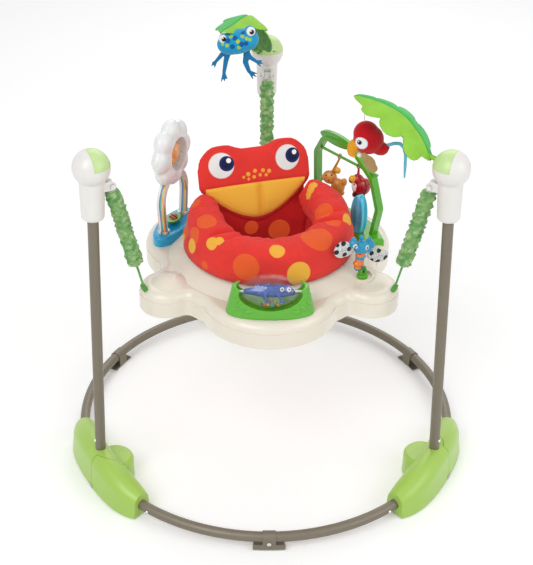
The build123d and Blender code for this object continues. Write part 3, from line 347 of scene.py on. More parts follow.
def weave(look, count, strength, place=None):
    # plain weave: two crossed sets of threads, count per metre
    across = look.wave(count, "X", place)
    along = look.wave(count, "Z", place)
    deep = look.wave(count, "Y", place)
    threads = look.math("MULTIPLY", look.math("ADD", across, deep), along)
    fuzz = look.math("MULTIPLY", look.noise(700.0, 3.0), 0.8)
    return look.bump(look.math("ADD", threads, fuzz), strength, 0.0005)


def cloth(name, colour, count=240.0, strength=0.25, sheen=0.25):
    look = Finish(name, 0.85, Sheen_Weight=sheen, Sheen_Roughness=0.5, Specular_IOR_Level=0.25)
    worn = look.noise(22.0)
    look.colour(look.mix(look.spread(worn, 0.0, 1.0), shade(colour, 0.9), shade(colour, 1.06)))
    weave(look, count, strength)
    return look


ivory = plastic("ivoryTray", paint("#ebe3d3"), 0.24)
hubWhite = plastic("hubWhite", paint("#e9e7e2"), 0.3)
stationWhite = plastic("stationWhite", paint("#eceae6"), 0.26)
limeFoot = plastic("limeFoot", paint("#a6cc58"), 0.34)
paleCap = plastic("paleCap", paint("#c6e29a"), 0.34)
grassGreen = plastic("grassGreen", paint("#5db32c"), 0.26)
skyBlue = plastic("skyBlue", paint("#12a3d4"), 0.24)
toyRed = plastic("toyRed", paint("#c3161c"), 0.26)
taupe = coatedSteel("taupeCoat", paint("#7d7565"))
chrome = platedSteel("platedSteel")
padGrey = plastic("padGrey", paint("#c9c8c2"), 0.6, 0.2)
plateWhite = plastic("plateWhite", paint("#dcdbd4"), 0.45)
clearShell = clearPlastic("clearShell", (0.95, 0.98, 0.99))
print("finishes ready")

# carried-over nodes and their finishes; the printed and patterned ones are dressed beside their station
carried = {
    taupe: ("ring_tube_front", "ring_tube_right", "ring_tube_left", "post_left", "post_right", "post_rear",
            "foot_stubs", "ring_saddles"),
    limeFoot: ("foot_left", "foot_right", "foot_rear", "foot_knuckles"),
    chrome: ("snap_buttons", "frame_fasteners", "tray_screws"),
    padGrey: ("floor_pads",),
    hubWhite: ("hub_left", "hub_right", "hub_rear"),
    paleCap: ("hub_caps",),
    ivory: ("tray_top", "tray_cover"),
    grassGreen: ("music_base", "bug_stalk"),
    clearShell: ("roller_shell_left", "roller_shell_right", "cloud_window"),
    stationWhite: ("roller_axle",),
    skyBlue: ("sky_base",),
    toyRed: ("push_button",),
}


def dress(node, material):
    piece = nodes[node]
    piece.data.materials.clear()
    piece.data.materials.append(material)


for material, names in carried.items():
    for node in names:
        dress(node, material)
print("carried nodes dressed")


# modelling helpers
def toPiece(name, bm, material, body=None, stands=(), sharp=None):
    mesh = bpy.data.meshes.new(name)
    bmesh.ops.recalc_face_normals(bm, faces=bm.faces)
    bm.to_mesh(mesh)
    bm.free()
    for face in mesh.polygons:
        face.use_smooth = True
    if sharp:
        mesh.set_sharp_from_angle(angle=radians(sharp))
    piece = bpy.data.objects.new(name, mesh)
    scene.collection.objects.link(piece)
    mesh.materials.append(material)
    if body:
        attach(piece, body)
    if stands:
        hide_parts(*stands)
    return piece


def refinish(piece, material):
    piece.data.materials[0] = material


def settled(piece):
    # the piece's mesh with its modifiers applied, as a new bmesh
    mesh = bpy.data.meshes.new_from_object(piece.evaluated_get(bpy.context.evaluated_depsgraph_get()))
    bm = bmesh.new()
    bm.from_mesh(mesh)
    bpy.data.meshes.remove(mesh)
    return bm


def scratchPiece(bm):
    mesh = bpy.data.meshes.new("scratch")
    bm.to_mesh(mesh)
    bm.free()
    piece = bpy.data.objects.new("scratch", mesh)
    scene.collection.objects.link(piece)
    return piece


def discard(piece):
    mesh = piece.data
    bpy.data.objects.remove(piece)
    bpy.data.meshes.remove(mesh)


def oneSkin(bm, voxel, rounds=2):
    # joins overlapping closed forms into one even skin
    bmesh.ops.recalc_face_normals(bm, faces=bm.faces)
    piece = scratchPiece(bm)
    remesh = piece.modifiers.new("skin", "REMESH")
    remesh.mode = "VOXEL"
    remesh.voxel_size = voxel
    skin = settled(piece)
    discard(piece)
    for _ in range(rounds):
        bmesh.ops.smooth_vert(skin, verts=skin.verts, factor=0.5, use_axis_x=True, use_axis_y=True,
                              use_axis_z=True)
    return skin


def finer(bm):
    piece = scratchPiece(bm)
    subdivision = piece.modifiers.new("finer", "SUBSURF")
    subdivision.levels = subdivision.render_levels = 1
    smooth = settled(piece)
    discard(piece)
    return smooth


# how the sewn forms are blown up, besides each one's own recipe
clothRun = {"quality": 5, "mass": 0.3, "bending": 0.4, "steps": 20}


def stuff(bm, recipe, held):
    # blows a sewn form up like stuffing: held(point) is 1 where it is sewn down
    skin = oneSkin(bm, recipe["voxel"])
    start = [vert.co.copy() for vert in skin.verts]
    piece = scratchPiece(skin)
    group = piece.vertex_groups.new(name="sewn")
    for index, point in enumerate(start):
        group.add([index], held(point), "REPLACE")
    modifier = piece.modifiers.new("stuffing", "CLOTH")
    fabric = modifier.settings
    fabric.quality = clothRun["quality"]
    fabric.mass = clothRun["mass"]
    fabric.tension_stiffness = fabric.compression_stiffness = recipe["stretch"]
    fabric.bending_stiffness = clothRun["bending"]
    fabric.use_pressure = True
    fabric.uniform_pressure_force = recipe["pressure"]
    fabric.vertex_group_mass = "sewn"
    fabric.effector_weights.gravity = 0
    for step in range(1, clothRun["steps"] + 1):
        scene.frame_set(step)
    skin = settled(piece)
    discard(piece)
    scene.frame_set(1)
    skin.verts.ensure_lookup_table()
    for vert, point in zip(skin.verts, start):
        shift = vert.co - point
        if shift.length > recipe["cap"]:
            vert.co = point + shift * (recipe["cap"] / shift.length)
    return finer(skin)


def ball(bm, centre, radii, turn=(0, 0, 0), rings=12):
    place = Matrix.Translation(Vector(centre))
    for axis, angle in zip("ZYX", reversed(turn)):
        place = place @ Matrix.Rotation(radians(angle), 4, axis)
    size = radii if isinstance(radii, tuple) else (radii,) * 3
    bmesh.ops.create_uvsphere(bm, u_segments=2 * rings, v_segments=rings, radius=1.0,
                              matrix=place @ Matrix.Diagonal((*size, 1)))


def limb(bm, start, end, startRadius, endRadius):
    # tapered roll with a round end at both ends
    start, end = Vector(start), Vector(end)
    run = end - start
    place = Matrix.Translation((start + end) / 2) @ run.to_track_quat("Z", "Y").to_matrix().to_4x4()
    bmesh.ops.create_cone(bm, cap_ends=True, segments=18, radius1=startRadius, radius2=endRadius,
                          depth=run.length, matrix=place)
    ball(bm, start, startRadius, rings=9)
    ball(bm, end, endRadius, rings=9)


def smoothStep(value, low, high):
    t = min(1.0, max(0.0, (value - low) / (high - low)))
    return t * t * (3 - 2 * t)


def between(low, high, share):
    return low + (high - low) * share


def reach(inside, centre, angle, longest):
    # how far a ray from the centre runs before it leaves the outline
    near, far = 0.0, longest
    for _ in range(22):
        middle = (near + far) / 2
        if inside(centre[0] + middle * cos(angle), centre[1] + middle * sin(angle)):
            near = middle
        else:
            far = middle
    return near


def pillow(inside, centre, front, back, longest=0.3, segments=112, rings=26, edge=2.4):
    # sewn form: outline in X and Z, stuffed towards -Y by front(x, z) and towards +Y by back(x, z)
    bm = bmesh.new()
    bmesh.ops.create_uvsphere(bm, u_segments=segments, v_segments=rings, radius=1.0,
                              matrix=Matrix.Rotation(radians(90), 4, "X"))
    spans = {}
    for vert in bm.verts:
        angle = round(atan2(vert.co.z, vert.co.x), 4)
        share = min(1.0, hypot(vert.co.x, vert.co.z))
        if angle not in spans:
            spans[angle] = reach(inside, centre, angle, longest)
        out = spans[angle] * share ** 1.15
        x, z = centre[0] + out * cos(angle), centre[1] + out * sin(angle)
        rise = max(0.0, 1 - share ** edge) ** 0.55
        y = -front(x, z) * rise if vert.co.y < 0 else back(x, z) * rise
        vert.co = (x, y, z)
    return bm


def moved(bm, place):
    bmesh.ops.transform(bm, matrix=place, verts=bm.verts)
    return bm


searchTrees = {}


def seenAt(x, y, piece):
    # point and normal where the sight line of a photograph's pixel meets a piece
    if piece.name not in searchTrees:
        searchTrees[piece.name] = BVHTree.FromObject(piece, bpy.context.evaluated_depsgraph_get())
    return searchTrees[piece.name].ray_cast(*sightLine(x, y))[:2]


def marked(piece, marks):
    # marks of (pixel x, pixel y, radius in millimetres, colour) laid on a piece
    found = []
    for x, y, radius, tint in marks:
        spot = seenAt(x, y, piece)[0]
        if spot:
            found.append((spot, radius / 1000, paint(tint)))
    return found


def spotted(look, base, marks):
    # base colour with round marks of (point, radius, colour) painted over it in order
    colour = base
    for point, radius, tint in marks:
        colour = look.mix(look.within(look.away(point), radius), colour, tint)
    return colour


def plush(name, base, marks=()):
    # short velour: fine nap, soft sheen and printed marks
    look = Finish(name, 0.9, Sheen_Weight=0.35, Sheen_Roughness=0.45, Specular_IOR_Level=0.2)
    nap = look.noise(380.0, 4.0)
    ground = look.mix(look.spread(look.noise(34.0), 0.0, 1.0), shade(base, 0.86), shade(base, 1.08))
    look.colour(spotted(look, ground, marks))
    look.bump(nap, 0.3, 0.0006)
    return look.material


def printed(name, base, marks, roughness=0.28):
    # moulded toy with painted marks
    look = Finish(name, roughness, Coat_Weight=0.2, Coat_Roughness=0.08)
    ground = look.mix(look.spread(look.noise(26.0), 0.0, 1.0), shade(base, 0.93), shade(base, 1.05))
    look.colour(spotted(look, ground, marks))
    look.rough(look.spread(look.noise(70.0), roughness - 0.05, roughness + 0.06))
    look.bump(look.noise(420.0, 2.0), 0.06, 0.0004)
    return look.material


# cords that carry the two stuffed toys: straight, because each holds a weight
hangingCords = {
    "frog": {"hook": (-0.08594, 0.22226, 0.81622), "drop": 0.034, "node": "frog_cord"},
    "parrot": {"hook": (0.17001, -0.09481, 0.80760), "drop": 0.042, "node": "parrot_cord"},
    "diameter": 0.0016, "gap": 0.0003, "stub": (0.004, 0.02),
}
twine = Finish("whiteTwine", 0.8)
twine.colour(twine.mix(twine.wave(900.0, "DIAGONAL"), paint("#cfccc0"), paint("#f1efe6")))
twine.bump(twine.wave(900.0, "DIAGONAL"), 0.4, 0.0004)


def hangCord(body):
    facts = hangingCords[body]
    top = Vector(facts["hook"]) - Vector((0, 0, hangingCords["gap"]))
    length = facts["drop"] - 2 * hangingCords["gap"]
    curve = bpy.data.curves.new(body + "Cord", "CURVE")
    curve.dimensions = "3D"
    curve.bevel_depth = hangingCords["diameter"] / 2
    curve.bevel_resolution = 3
    curve.use_fill_caps = True
    spline = curve.splines.new("NURBS")
    spline.points.add(2)
    for index, point in enumerate(spline.points):
        point.co = (*(top - Vector((0, 0, length * index / 2))), 1)
    spline.order_u = 3
    spline.use_endpoint_u = True
    cord = bpy.data.objects.new(body + "Cord", curve)
    scene.collection.objects.link(cord)
    curve.materials.append(twine.material)
    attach(cord, body)
    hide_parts(facts["node"])


for body in ("frog", "parrot"):
    hangCord(body)
print("cords hung")

# hangers: crumpled sleeve over the spring, webbing strap down to the tray's ear
hanger = {
    "sleeveStart": 0.010, "sleeveLength": 0.181, "sleeveRadius": 0.0140, "ruffle": 0.0017, "ruffles": 12,
    "crumple": 0.0026, "around": 48, "along": 170, "closed": 0.0070, "pleat": 0.0012, "slimmest": 0.0112,
    "webEdge": 0.0006, "buckleEdge": 0.0012,
    "coilRadius": 0.0085, "coilStart": 0.016, "coilLength": 0.158, "coilTurns": 10, "wire": 0.0012,
    "plugEnd": 0.178, "webWidth": 0.009, "webThickness": 0.0024, "webBelow": 0.008,
    "toggleRadius": 0.003, "toggleLength": 0.026, "buckle": (0.0075, 0.0045, 0.006), "buckleAt": 0.018,
}


def hangPlace(corner):
    # frame at the hanger pin: Z runs down the hanger, X is tangential
    angle = jumper["corners"][corner]
    pin, anchor = (polar(radius, angle, height) for radius, height in (jumper["pin"], jumper["anchor"]))
    down = (anchor - pin).normalized()
    across = Vector((0, 0, 1)).cross(polar(1, angle)).normalized()
    turn = Matrix((across, down.cross(across), down)).transposed().to_4x4()
    return Matrix.Translation(pin) @ turn, (anchor - pin).length


def sleeveSkin(seed):
    bm = bmesh.new()
    bmesh.ops.create_grid(bm, x_segments=hanger["around"], y_segments=hanger["along"], size=0.5)
    for vert in bm.verts:
        turn, along = 2 * pi * (vert.co.x + 0.5), vert.co.y + 0.5
        wander = noise.noise(Vector((1.1 * cos(turn), 1.1 * sin(turn), 7 * along + seed)))
        ridge = sin(2 * pi * (hanger["ruffles"] * along + 0.8 * wander))
        crease = noise.noise(Vector((2.4 * cos(turn), 2.4 * sin(turn), 24 * along + seed)))
        pleat = noise.noise(Vector((4.5 * cos(turn), 4.5 * sin(turn), 5 * along - seed)))
        radius = hanger["sleeveRadius"] + hanger["ruffle"] * ridge + hanger["crumple"] * crease
        radius += hanger["pleat"] * pleat
        shut = smoothStep(along, 0.0, 0.05) * (1 - smoothStep(along, 0.955, 1.0))
        radius = between(hanger["closed"], max(radius, hanger["slimmest"]), shut)
        vert.co = (radius * cos(turn), radius * sin(turn),
                   hanger["sleeveStart"] + along * hanger["sleeveLength"])
    bmesh.ops.remove_doubles(bm, verts=bm.verts, dist=0.00002)
    return bm


sleeveCloth = cloth("sleeveCloth", paint("#86ad68"), 260.0, 0.3)
patch = sleeveCloth.spread(sleeveCloth.noise(58.0, 3.0, 0.6), 0.0, 1.0, 0.40, 0.60)
# pale patches laid at random over the mottled greens are painted highlights
paintedHighlight = sleeveCloth.spread(sleeveCloth.noise(96.0, 3.0, 0.6), 0.0, 0.8, 0.50, 0.70)
greens = sleeveCloth.mix(patch, paint("#5f9c55"), paint("#8cb56f"))
sleeveCloth.colour(sleeveCloth.mix(paintedHighlight, greens, paint("#bfd6a2")))
webbing = cloth("strapWebbing", paint("#57a83f"), 520.0, 0.5).material


def coilSpring(place):
    curve = bpy.data.curves.new("coil", "CURVE")
    curve.dimensions = "3D"
    curve.bevel_depth = hanger["wire"]
    curve.bevel_resolution = 2
    spline = curve.splines.new("NURBS")
    steps = 16 * hanger["coilTurns"]
    spline.points.add(steps)
    for index, point in enumerate(spline.points):
        turn = 2 * pi * hanger["coilTurns"] * index / steps
        spot = Vector((hanger["coilRadius"] * cos(turn), hanger["coilRadius"] * sin(turn),
                       hanger["coilStart"] + hanger["coilLength"] * index / steps))
        point.co = (*(place @ spot), 1)
    spline.order_u = 3
    spline.use_endpoint_u = True
    wire = bpy.data.objects.new("coil", curve)
    scene.collection.objects.link(wire)
    bm = settled(wire)
    bpy.data.objects.remove(wire)
    return bm


def strapForm(length):
    # webbing through the ear's slot, a toggle below it and a small keeper block above
    bm = bmesh.new()
    top, bottom = hanger["plugEnd"], length + hanger["webBelow"]
    made = bmesh.ops.create_cube(bm, size=1.0)
    bmesh.ops.scale(bm, verts=made["verts"], vec=(hanger["webWidth"], hanger["webThickness"], bottom - top))
    bmesh.ops.translate(bm, verts=made["verts"], vec=(0, 0, (top + bottom) / 2))
    bmesh.ops.bevel(bm, geom=bm.edges[:], offset=hanger["webEdge"], affect="EDGES", segments=2, profile=0.5,
                    material=-1)
    bmesh.ops.create_cone(bm, cap_ends=True, segments=20, radius1=hanger["toggleRadius"],
                          radius2=hanger["toggleRadius"], depth=hanger["toggleLength"],
                          matrix=Matrix.Translation((0, 0, bottom)) @ Matrix.Rotation(radians(90), 4, "Y"))
    block = bmesh.ops.create_cube(bm, size=2.0)["verts"]
    bmesh.ops.scale(bm, verts=block, vec=hanger["buckle"])
    bmesh.ops.translate(bm, verts=block, vec=(0, 0, length - hanger["buckleAt"]))
    edges = {edge for vert in block for edge in vert.link_edges}
    bmesh.ops.bevel(bm, geom=list(edges), offset=hanger["buckleEdge"], affect="EDGES", segments=2,
                    profile=0.5, material=-1)
    return bm


def hangerParts():
    straps, coils = bmesh.new(), bmesh.new()
    for seed, corner in enumerate(jumper["corners"]):
        place, length = hangPlace(corner)
        sleeve = toPiece(corner + "Sleeve", moved(sleeveSkin(3.7 * seed + 1), place), sleeveCloth.material,
                         stands=("sleeve_" + corner,))
        ends = (hanger["sleeveStart"] + share * hanger["sleeveLength"] for share in (0.03, 0.97))
        high, low = (place @ Vector((0, 0, end)) for end in ends)
        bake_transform(sleeve)
        for target, source in ((straps, moved(strapForm(length), place)), (coils, coilSpring(place))):
            mesh = bpy.data.meshes.new("copy")
            source.to_mesh(mesh)
            source.free()
            target.from_mesh(mesh)
            bpy.data.meshes.remove(mesh)
    toPiece("hangerStraps", straps, webbing, "tray", ("straps",), sharp=40)
    springs = toPiece("coilSprings", coils, chrome, stands=("springs",))
    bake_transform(springs)
    plugs = bmesh.new()
    plugs.from_mesh(nodes["spring_plugs"].data)
    bmesh.ops.remove_doubles(plugs, verts=plugs.verts, dist=0.00001)
    plugPiece = toPiece("springPlugs", plugs, plateWhite, stands=("spring_plugs",),
                        sharp=35)
    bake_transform(plugPiece)


hangerParts()
print("sleeves, springs and straps hung")

# seat: padded roll with arms that rise to the cheeks of the frog head
seat = {
    "inner": 0.090, "outer": 0.1665, "rise": 0.064, "armRise": 0.082, "armFrom": 40.0, "armTo": 118.0,
    "cheekInner": 0.108, "cheekOuter": 0.153, "narrowFrom": 92.0, "span": 132.0, "square": 2.5,
    "turn": 16.5, "headFront": 0.056, "headLean": 18.0, "headGap": 0.003,
    "creases": ((-58.0, 0.015), (-46.0, 0.006), (52.0, 0.014), (64.0, 0.008)), "lipGap": 0.004,
    "lipSlope": 1.1, "lowest": 0.03, "footSquare": 0.32, "creaseWidth": 0.0055, "creaseSkew": 160.0,
    "creaseFrom": 0.096, "topFrom": (0.022, 0.05), "inFrom": (0.128, 0.166),
    "skirt": {"radius": 0.1733, "across": (0.138, 0.156), "height": (0.010, 0.042), "edge": 0.1718,
              "drop": -0.0062},
    "stuffing": {"voxel": 0.0048, "pressure": 4.0, "stretch": 14.0, "cap": 0.008},
}
seatPlace = turnZ(seat["turn"]) @ Matrix.Translation((0, 0, jumper["seatBase"]))
leanBack = Matrix.Rotation(radians(-seat["headLean"]), 4, "X")
headPlace = seatPlace @ Matrix.Translation((0, seat["headFront"], 0)) @ leanBack
fabricRed = paint("#ea3a33")
insideRed = paint("#c3191c")
dotTints = {"orange": "#ee5f2b", "yellow": "#f4b441"}


def signedPower(value, power):
    return (abs(value) ** power) * (1 if value >= 0 else -1)


def headPlane(height):
    # how far back the arms may reach before they meet the leaning head
    return seat["headFront"] - seat["headGap"] + height * tan(radians(seat["headLean"]))


# frog head: its outline, and the face printed on it with freckles in millimetres
head = {
    "bump": 0.070, "bumpRadius": 0.050, "top": 0.173, "dip": 0.011, "cheek": 0.082, "lip": 0.006,
    "curl": 1.8, "mid": 0.013, "front": 0.013, "bulge": 0.006, "back": 0.014,
    "stuffing": {"voxel": 0.0036, "pressure": 4.0, "stretch": 16.0, "cap": 0.005},
    "eye": (0.0705, 0.1315), "eyeSize": 0.0262, "pupil": (0.0112, 0.003), "pupilSize": 0.0155,
    "glint": (0.0158, 0.0088), "glintSize": 0.005, "mouthTop": 0.0860, "mouthBow": 0.003,
    "mouthHalf": 0.106, "hem": 0.0105,
    "freckles": ((-27, 103, 2.8), (-17, 108, 4.4), (-2, 113, 4.0), (15, 112, 4.2), (28, 109, 4.2),
                 (-17, 98, 2.8), (-5, 101, 3.6), (8, 103.5, 3.4), (21, 102, 3.4)),
}


def lipAt(x):
    half = head["bump"] + head["bumpRadius"]
    return head["lip"] + (head["cheek"] - head["lip"]) * (abs(x) / half) ** head["curl"]


def rollForm():
    bm = bmesh.new()
    bmesh.ops.create_grid(bm, x_segments=120, y_segments=40, size=0.5)
    power = 2 / seat["square"]
    for vert in bm.verts:
        angle, turn = 2 * seat["span"] * vert.co.x, 2 * pi * (vert.co.y + 0.5)
        side = smoothStep(abs(angle), seat["narrowFrom"], seat["span"])
        inner = between(seat["inner"], seat["cheekInner"], side)
        outer = between(seat["outer"], seat["cheekOuter"], side)
        rise = between(seat["rise"], seat["armRise"],
                       smoothStep(abs(angle), seat["armFrom"], seat["armTo"]))
        corner = seat["footSquare"] if cos(turn) > 0 and sin(turn) < 0 else power
        radius = (inner + outer) / 2 + (outer - inner) / 2 * signedPower(cos(turn), corner)
        height = rise / 2 * (1 + signedPower(sin(turn), power))
        x, y = radius * sin(radians(angle)), -radius * cos(radians(angle))
        if y > 0:
            # the arms pass below the lip of the head
            room = lipAt(x) - seat["lipGap"] + seat["lipSlope"] * max(0.0, headPlane(height) - y)
            height = min(height, max(room, seat["lowest"]))
        vert.co = (x, min(y, headPlane(height)), height + 0.001)
    bmesh.ops.remove_doubles(bm, verts=bm.verts, dist=0.00002)
    bmesh.ops.holes_fill(bm, edges=[edge for edge in bm.edges if edge.is_boundary], sides=0)
    return bm


def creaseRoll(bm):
    # folds where the front of the roll turns into the arms, and small pulls in the cloth
    skirt = seat["skirt"]
    for vert in bm.verts:
        x, y, z = vert.co
        radius, angle = hypot(x, y), atan2(x, -y) * 180 / pi
        topSide = smoothStep(z, *seat["topFrom"])
        inSide = 1 - smoothStep(radius, *seat["inFrom"])
        dip = 0.0
        for place, depth in seat["creases"]:
            skew = place + (1 if place > 0 else -1) * seat["creaseSkew"] * (radius - seat["creaseFrom"])
            gap = radians(angle - skew) * radius
            dip += depth * exp(-(gap / seat["creaseWidth"]) ** 2) * topSide * (0.25 + 0.75 * inSide)
        pull = noise.noise(Vector((angle / 9, radius * 40, z * 30))) * 0.0018
        fine = noise.noise(Vector((angle / 3.2, radius * 90, z * 70)))
        pull += fine * (0.0006 + 0.0016 * inSide * topSide)
        vert.co += Vector((0, 0, -dip)) + vert.normal * pull * smoothStep(z, 0.004, 0.02)
        vert.co.z = max(vert.co.z, 0.0004)
        # the cover's skirt drapes over the ring's edge
        drape = smoothStep(radius, *skirt["across"]) * (1 - smoothStep(z, *skirt["height"]))
        wide = max(radius, between(radius, skirt["radius"], drape))
        vert.co.x, vert.co.y = vert.co.x * wide / radius, vert.co.y * wide / radius
        if wide > skirt["edge"] and vert.co.z < 0.004:
            vert.co.z = skirt["drop"]
    return bm


def rollHeld(point):
    # sewn down along the ring and against the head
    return 1.0 if point.z < 0.008 or point.y > headPlane(point.z) - 0.006 else 0.0


# dots printed on the roll, by the photograph's pixels, then on the sides that it does not show
rollDots = {
    "orange": ((245.8, 267.3, 26.0), (317.0, 236.0, 32.0), (193.6, 235.6, 17.0), (206.6, 220.8, 20.0),
               (194.6, 203.4, 13.0), (322.8, 211.4, 21.0), (333.0, 221.5, 15.0), (204.6, 265.4, 9.0)),
    "yellow": ((277.2, 250.3, 15.0), (299.1, 274.0, 24.0), (211.6, 243.4, 13.0), (219.6, 241.2, 9.0),
               (183.4, 238.6, 10.0), (348.5, 219.0, 13.0), (312.6, 185.0, 10.5), (310.0, 190.0, 10.5),
               (307.6, 195.0, 9.0)),
    "round": (("orange", 100.0, 0.168, 0.026, 22.0), ("yellow", 118.0, 0.156, 0.048, 17.0),
              ("orange", -100.0, 0.168, 0.030, 24.0), ("yellow", -80.0, 0.171, 0.026, 15.0),
              ("yellow", -122.0, 0.152, 0.034, 15.0), ("orange", 76.0, 0.171, 0.016, 14.0)),
}


def dottedCloth(name, ground, marks=()):
    look = cloth(name, ground, 230.0, 0.3, 0.08)
    base = look.mix(look.spread(look.noise(20.0), 0.0, 1.0), shade(ground, 0.93), shade(ground, 1.05))
    worn = look.spread(look.noise(60.0), 0.92, 1.04)
    base = look.mix(look.math("SUBTRACT", 1.0, worn), base, shade(ground, 0.7))
    look.colour(spotted(look, base, marks))
    return look.material


def rollPiece():
    roll = creaseRoll(stuff(rollForm(), seat["stuffing"], rollHeld))
    piece = toPiece("seatRoll", moved(roll, seatPlace), clearShell, "seat", ("seat_roll",))
    marks = []
    for kind, tint in dotTints.items():
        marks += marked(piece, [(*dot, tint) for dot in rollDots[kind]])
        for name, angle, radius, height, size in rollDots["round"]:
            if name == kind:
                spot = Vector((radius * sin(radians(angle)), -radius * cos(radians(angle)), height))
                marks.append((seatPlace @ spot, size / 1000, paint(tint)))
    refinish(piece, dottedCloth("dottedRed", fabricRed, marks))


rollPiece()
print("seat roll stuffed")


def inHead(x, z):
    bump, radius = head["bump"], head["bumpRadius"]
    half, eye = bump + radius, head["top"] - radius
    if abs(x) >= half or z < lipAt(x):
        return False
    if abs(x) > bump:
        return z < eye + sqrt(max(0.0, radius ** 2 - (abs(x) - bump) ** 2))
    return z < head["top"] - head["dip"] * (1 - smoothStep(abs(x), 0.3 * bump, 0.85 * bump))


def headFront(x, z):
    low = 1 - smoothStep(z, 0.03, 0.115)
    return head["front"] + head["bulge"] * low * (1 - (x / 0.13) ** 2)


def headForm():
    bm = pillow(inHead, (0, 0.098), headFront, lambda x, z: head["back"])
    bmesh.ops.translate(bm, verts=bm.verts, vec=(0, head["mid"], 0))
    return bm


def sewHead(bm):
    # seam round the mouth, centre crease in it, eyebrow seams and a piped edge
    for vert in bm.verts:
        x, y, z = vert.co
        if y > head["mid"]:
            continue
        above = z - (lipAt(x) + head["hem"])
        dip = 0.0022 * exp(-(above / 0.003) ** 2)
        mouth = z - (head["mouthTop"] + head["mouthBow"] * (1 - (x / 0.1) ** 2))
        dip += 0.0016 * exp(-(mouth / 0.003) ** 2) * (1 - smoothStep(abs(x), 0.1, 0.112))
        crease = smoothStep(z, 0.01, 0.03) * (1 - smoothStep(z, 0.07, 0.085))
        dip += 0.0024 * exp(-((x - 0.004) / 0.005) ** 2) * crease
        for side in (-1, 1):
            ring = hypot(x - side * 0.071, z - 0.127) - 0.0375
            dip += 0.0016 * exp(-(ring / 0.003) ** 2) * smoothStep(z, 0.133, 0.148)
        pull = noise.noise(Vector((x * 38, z * 26, 2.0))) * 0.0011
        vert.co.y += dip + pull
    return bm


def frogFace():
    look = cloth("frogFace", fabricRed, 230.0, 0.3, 0.08)
    x, y, z = look.local(headPlace.translation, headPlace.to_euler())
    flat = look.add("ShaderNodeCombineXYZ")
    look.link(x, flat.inputs[0])
    look.link(z, flat.inputs[2])
    flat = flat.outputs[0]
    front = look.spread(y, 1.0, 0.0, head["mid"] - 0.001, head["mid"] + 0.001)
    half = head["bump"] + head["bumpRadius"]
    wide = look.math("ABSOLUTE", x)
    lip = look.math("POWER", look.math("DIVIDE", wide, half), head["curl"])
    lip = look.math("ADD", look.math("MULTIPLY", lip, head["cheek"] - head["lip"]), head["lip"])
    above = look.math("SUBTRACT", z, look.math("ADD", lip, head["hem"]))
    bow = look.math("MULTIPLY", look.math("POWER", look.math("DIVIDE", x, 0.1), 2.0), head["mouthBow"])
    below = look.math("SUBTRACT", look.math("SUBTRACT", head["mouthTop"] + head["mouthBow"], bow), z)
    inMouth = look.math("MULTIPLY", look.spread(above, 0.0, 1.0, -0.0005, 0.0005),
                        look.spread(below, 0.0, 1.0, -0.0005, 0.0005))
    inMouth = look.math("MULTIPLY", inMouth, look.within(wide, head["mouthHalf"]))
    ground = look.mix(look.spread(look.noise(20.0), 0.0, 1.0), shade(fabricRed, 0.94),
                      shade(fabricRed, 1.05))
    hem = look.math("MULTIPLY", look.spread(above, 1.0, 0.0, -0.0012, -0.0002), front)
    ground = look.mix(look.math("MULTIPLY", hem, 0.75), ground, paint("#a81418"))
    # painted shade: the mouth turns darker orange along its centre crease
    fold = look.spread(look.math("ABSOLUTE", look.math("SUBTRACT", x, 0.004)), 1.0, 0.0, 0.0, 0.012)
    mouth = look.mix(fold, paint("#ffc548"), paint("#f4ad35"))
    colour = look.mix(look.math("MULTIPLY", inMouth, front), ground, mouth)
    marks = []
    for side in (-1, 1):
        u, w = side * head["eye"][0], head["eye"][1]
        pupil = (u + head["pupil"][0], 0, w + head["pupil"][1])
        marks.append(((u, 0, w), head["eyeSize"], paint("#dcdcda")))
        marks.append(((u, 0, w), head["eyeSize"] - 0.0012, paint("#f1f1ef")))
        marks.append((pupil, head["pupilSize"], paint("#1d2a63")))
        marks.append((pupil, head["pupilSize"] - 0.005, paint("#141c46")))
        marks.append(((u + head["glint"][0], 0, w + head["glint"][1]), head["glintSize"], paint("#ffffff")))
    for u, w, size in head["freckles"]:
        marks.append(((u / 1000, 0, w / 1000), size / 1000, paint("#f7b53f")))
    for point, radius, tint in marks:
        inside = look.math("MULTIPLY", look.within(look.away(point, flat), radius, 0.0004), front)
        colour = look.mix(inside, colour, tint)
    look.colour(colour)
    return look.material


headSkin = sewHead(stuff(headForm(), head["stuffing"],
                         lambda p: 1.0 if abs(p.y - head["mid"]) < 0.003 else 0.0))
headPiece = toPiece("frogHead", moved(headSkin, headPlace), frogFace(), "seat")

# back wall under the head's lip, curved forward to the arms
backWall = {
    "half": 0.111, "top": 0.086, "foot": -0.070, "mid": 0.0225, "front": 0.006, "back": 0.005,
    "curve": 0.024, "upright": 0.22,
    "stuffing": {"voxel": 0.0036, "pressure": 3.0, "stretch": 18.0, "cap": 0.003},
    "dots": ((251.4, 227.5, 15.0), (279.2, 229.8, 23.0)), "ripple": 0.0014, "taper": 2.2,
}


def wallForm():
    def inWall(x, z):
        return abs(x) < backWall["half"] and backWall["foot"] < z < backWall["top"]
    bm = pillow(inWall, (0, 0), lambda x, z: backWall["front"], lambda x, z: backWall["back"],
                segments=96, rings=20, edge=5)
    for vert in bm.verts:
        wide = abs(vert.co.x) / backWall["half"]
        low = max(0.0, -vert.co.z)
        forward = backWall["curve"] * wide ** 3 * smoothStep(0.05 - vert.co.z, 0.0, 0.05)
        vert.co.y += backWall["mid"] + backWall["upright"] * low - forward
        vert.co.x *= 1 - backWall["taper"] * low
    return bm


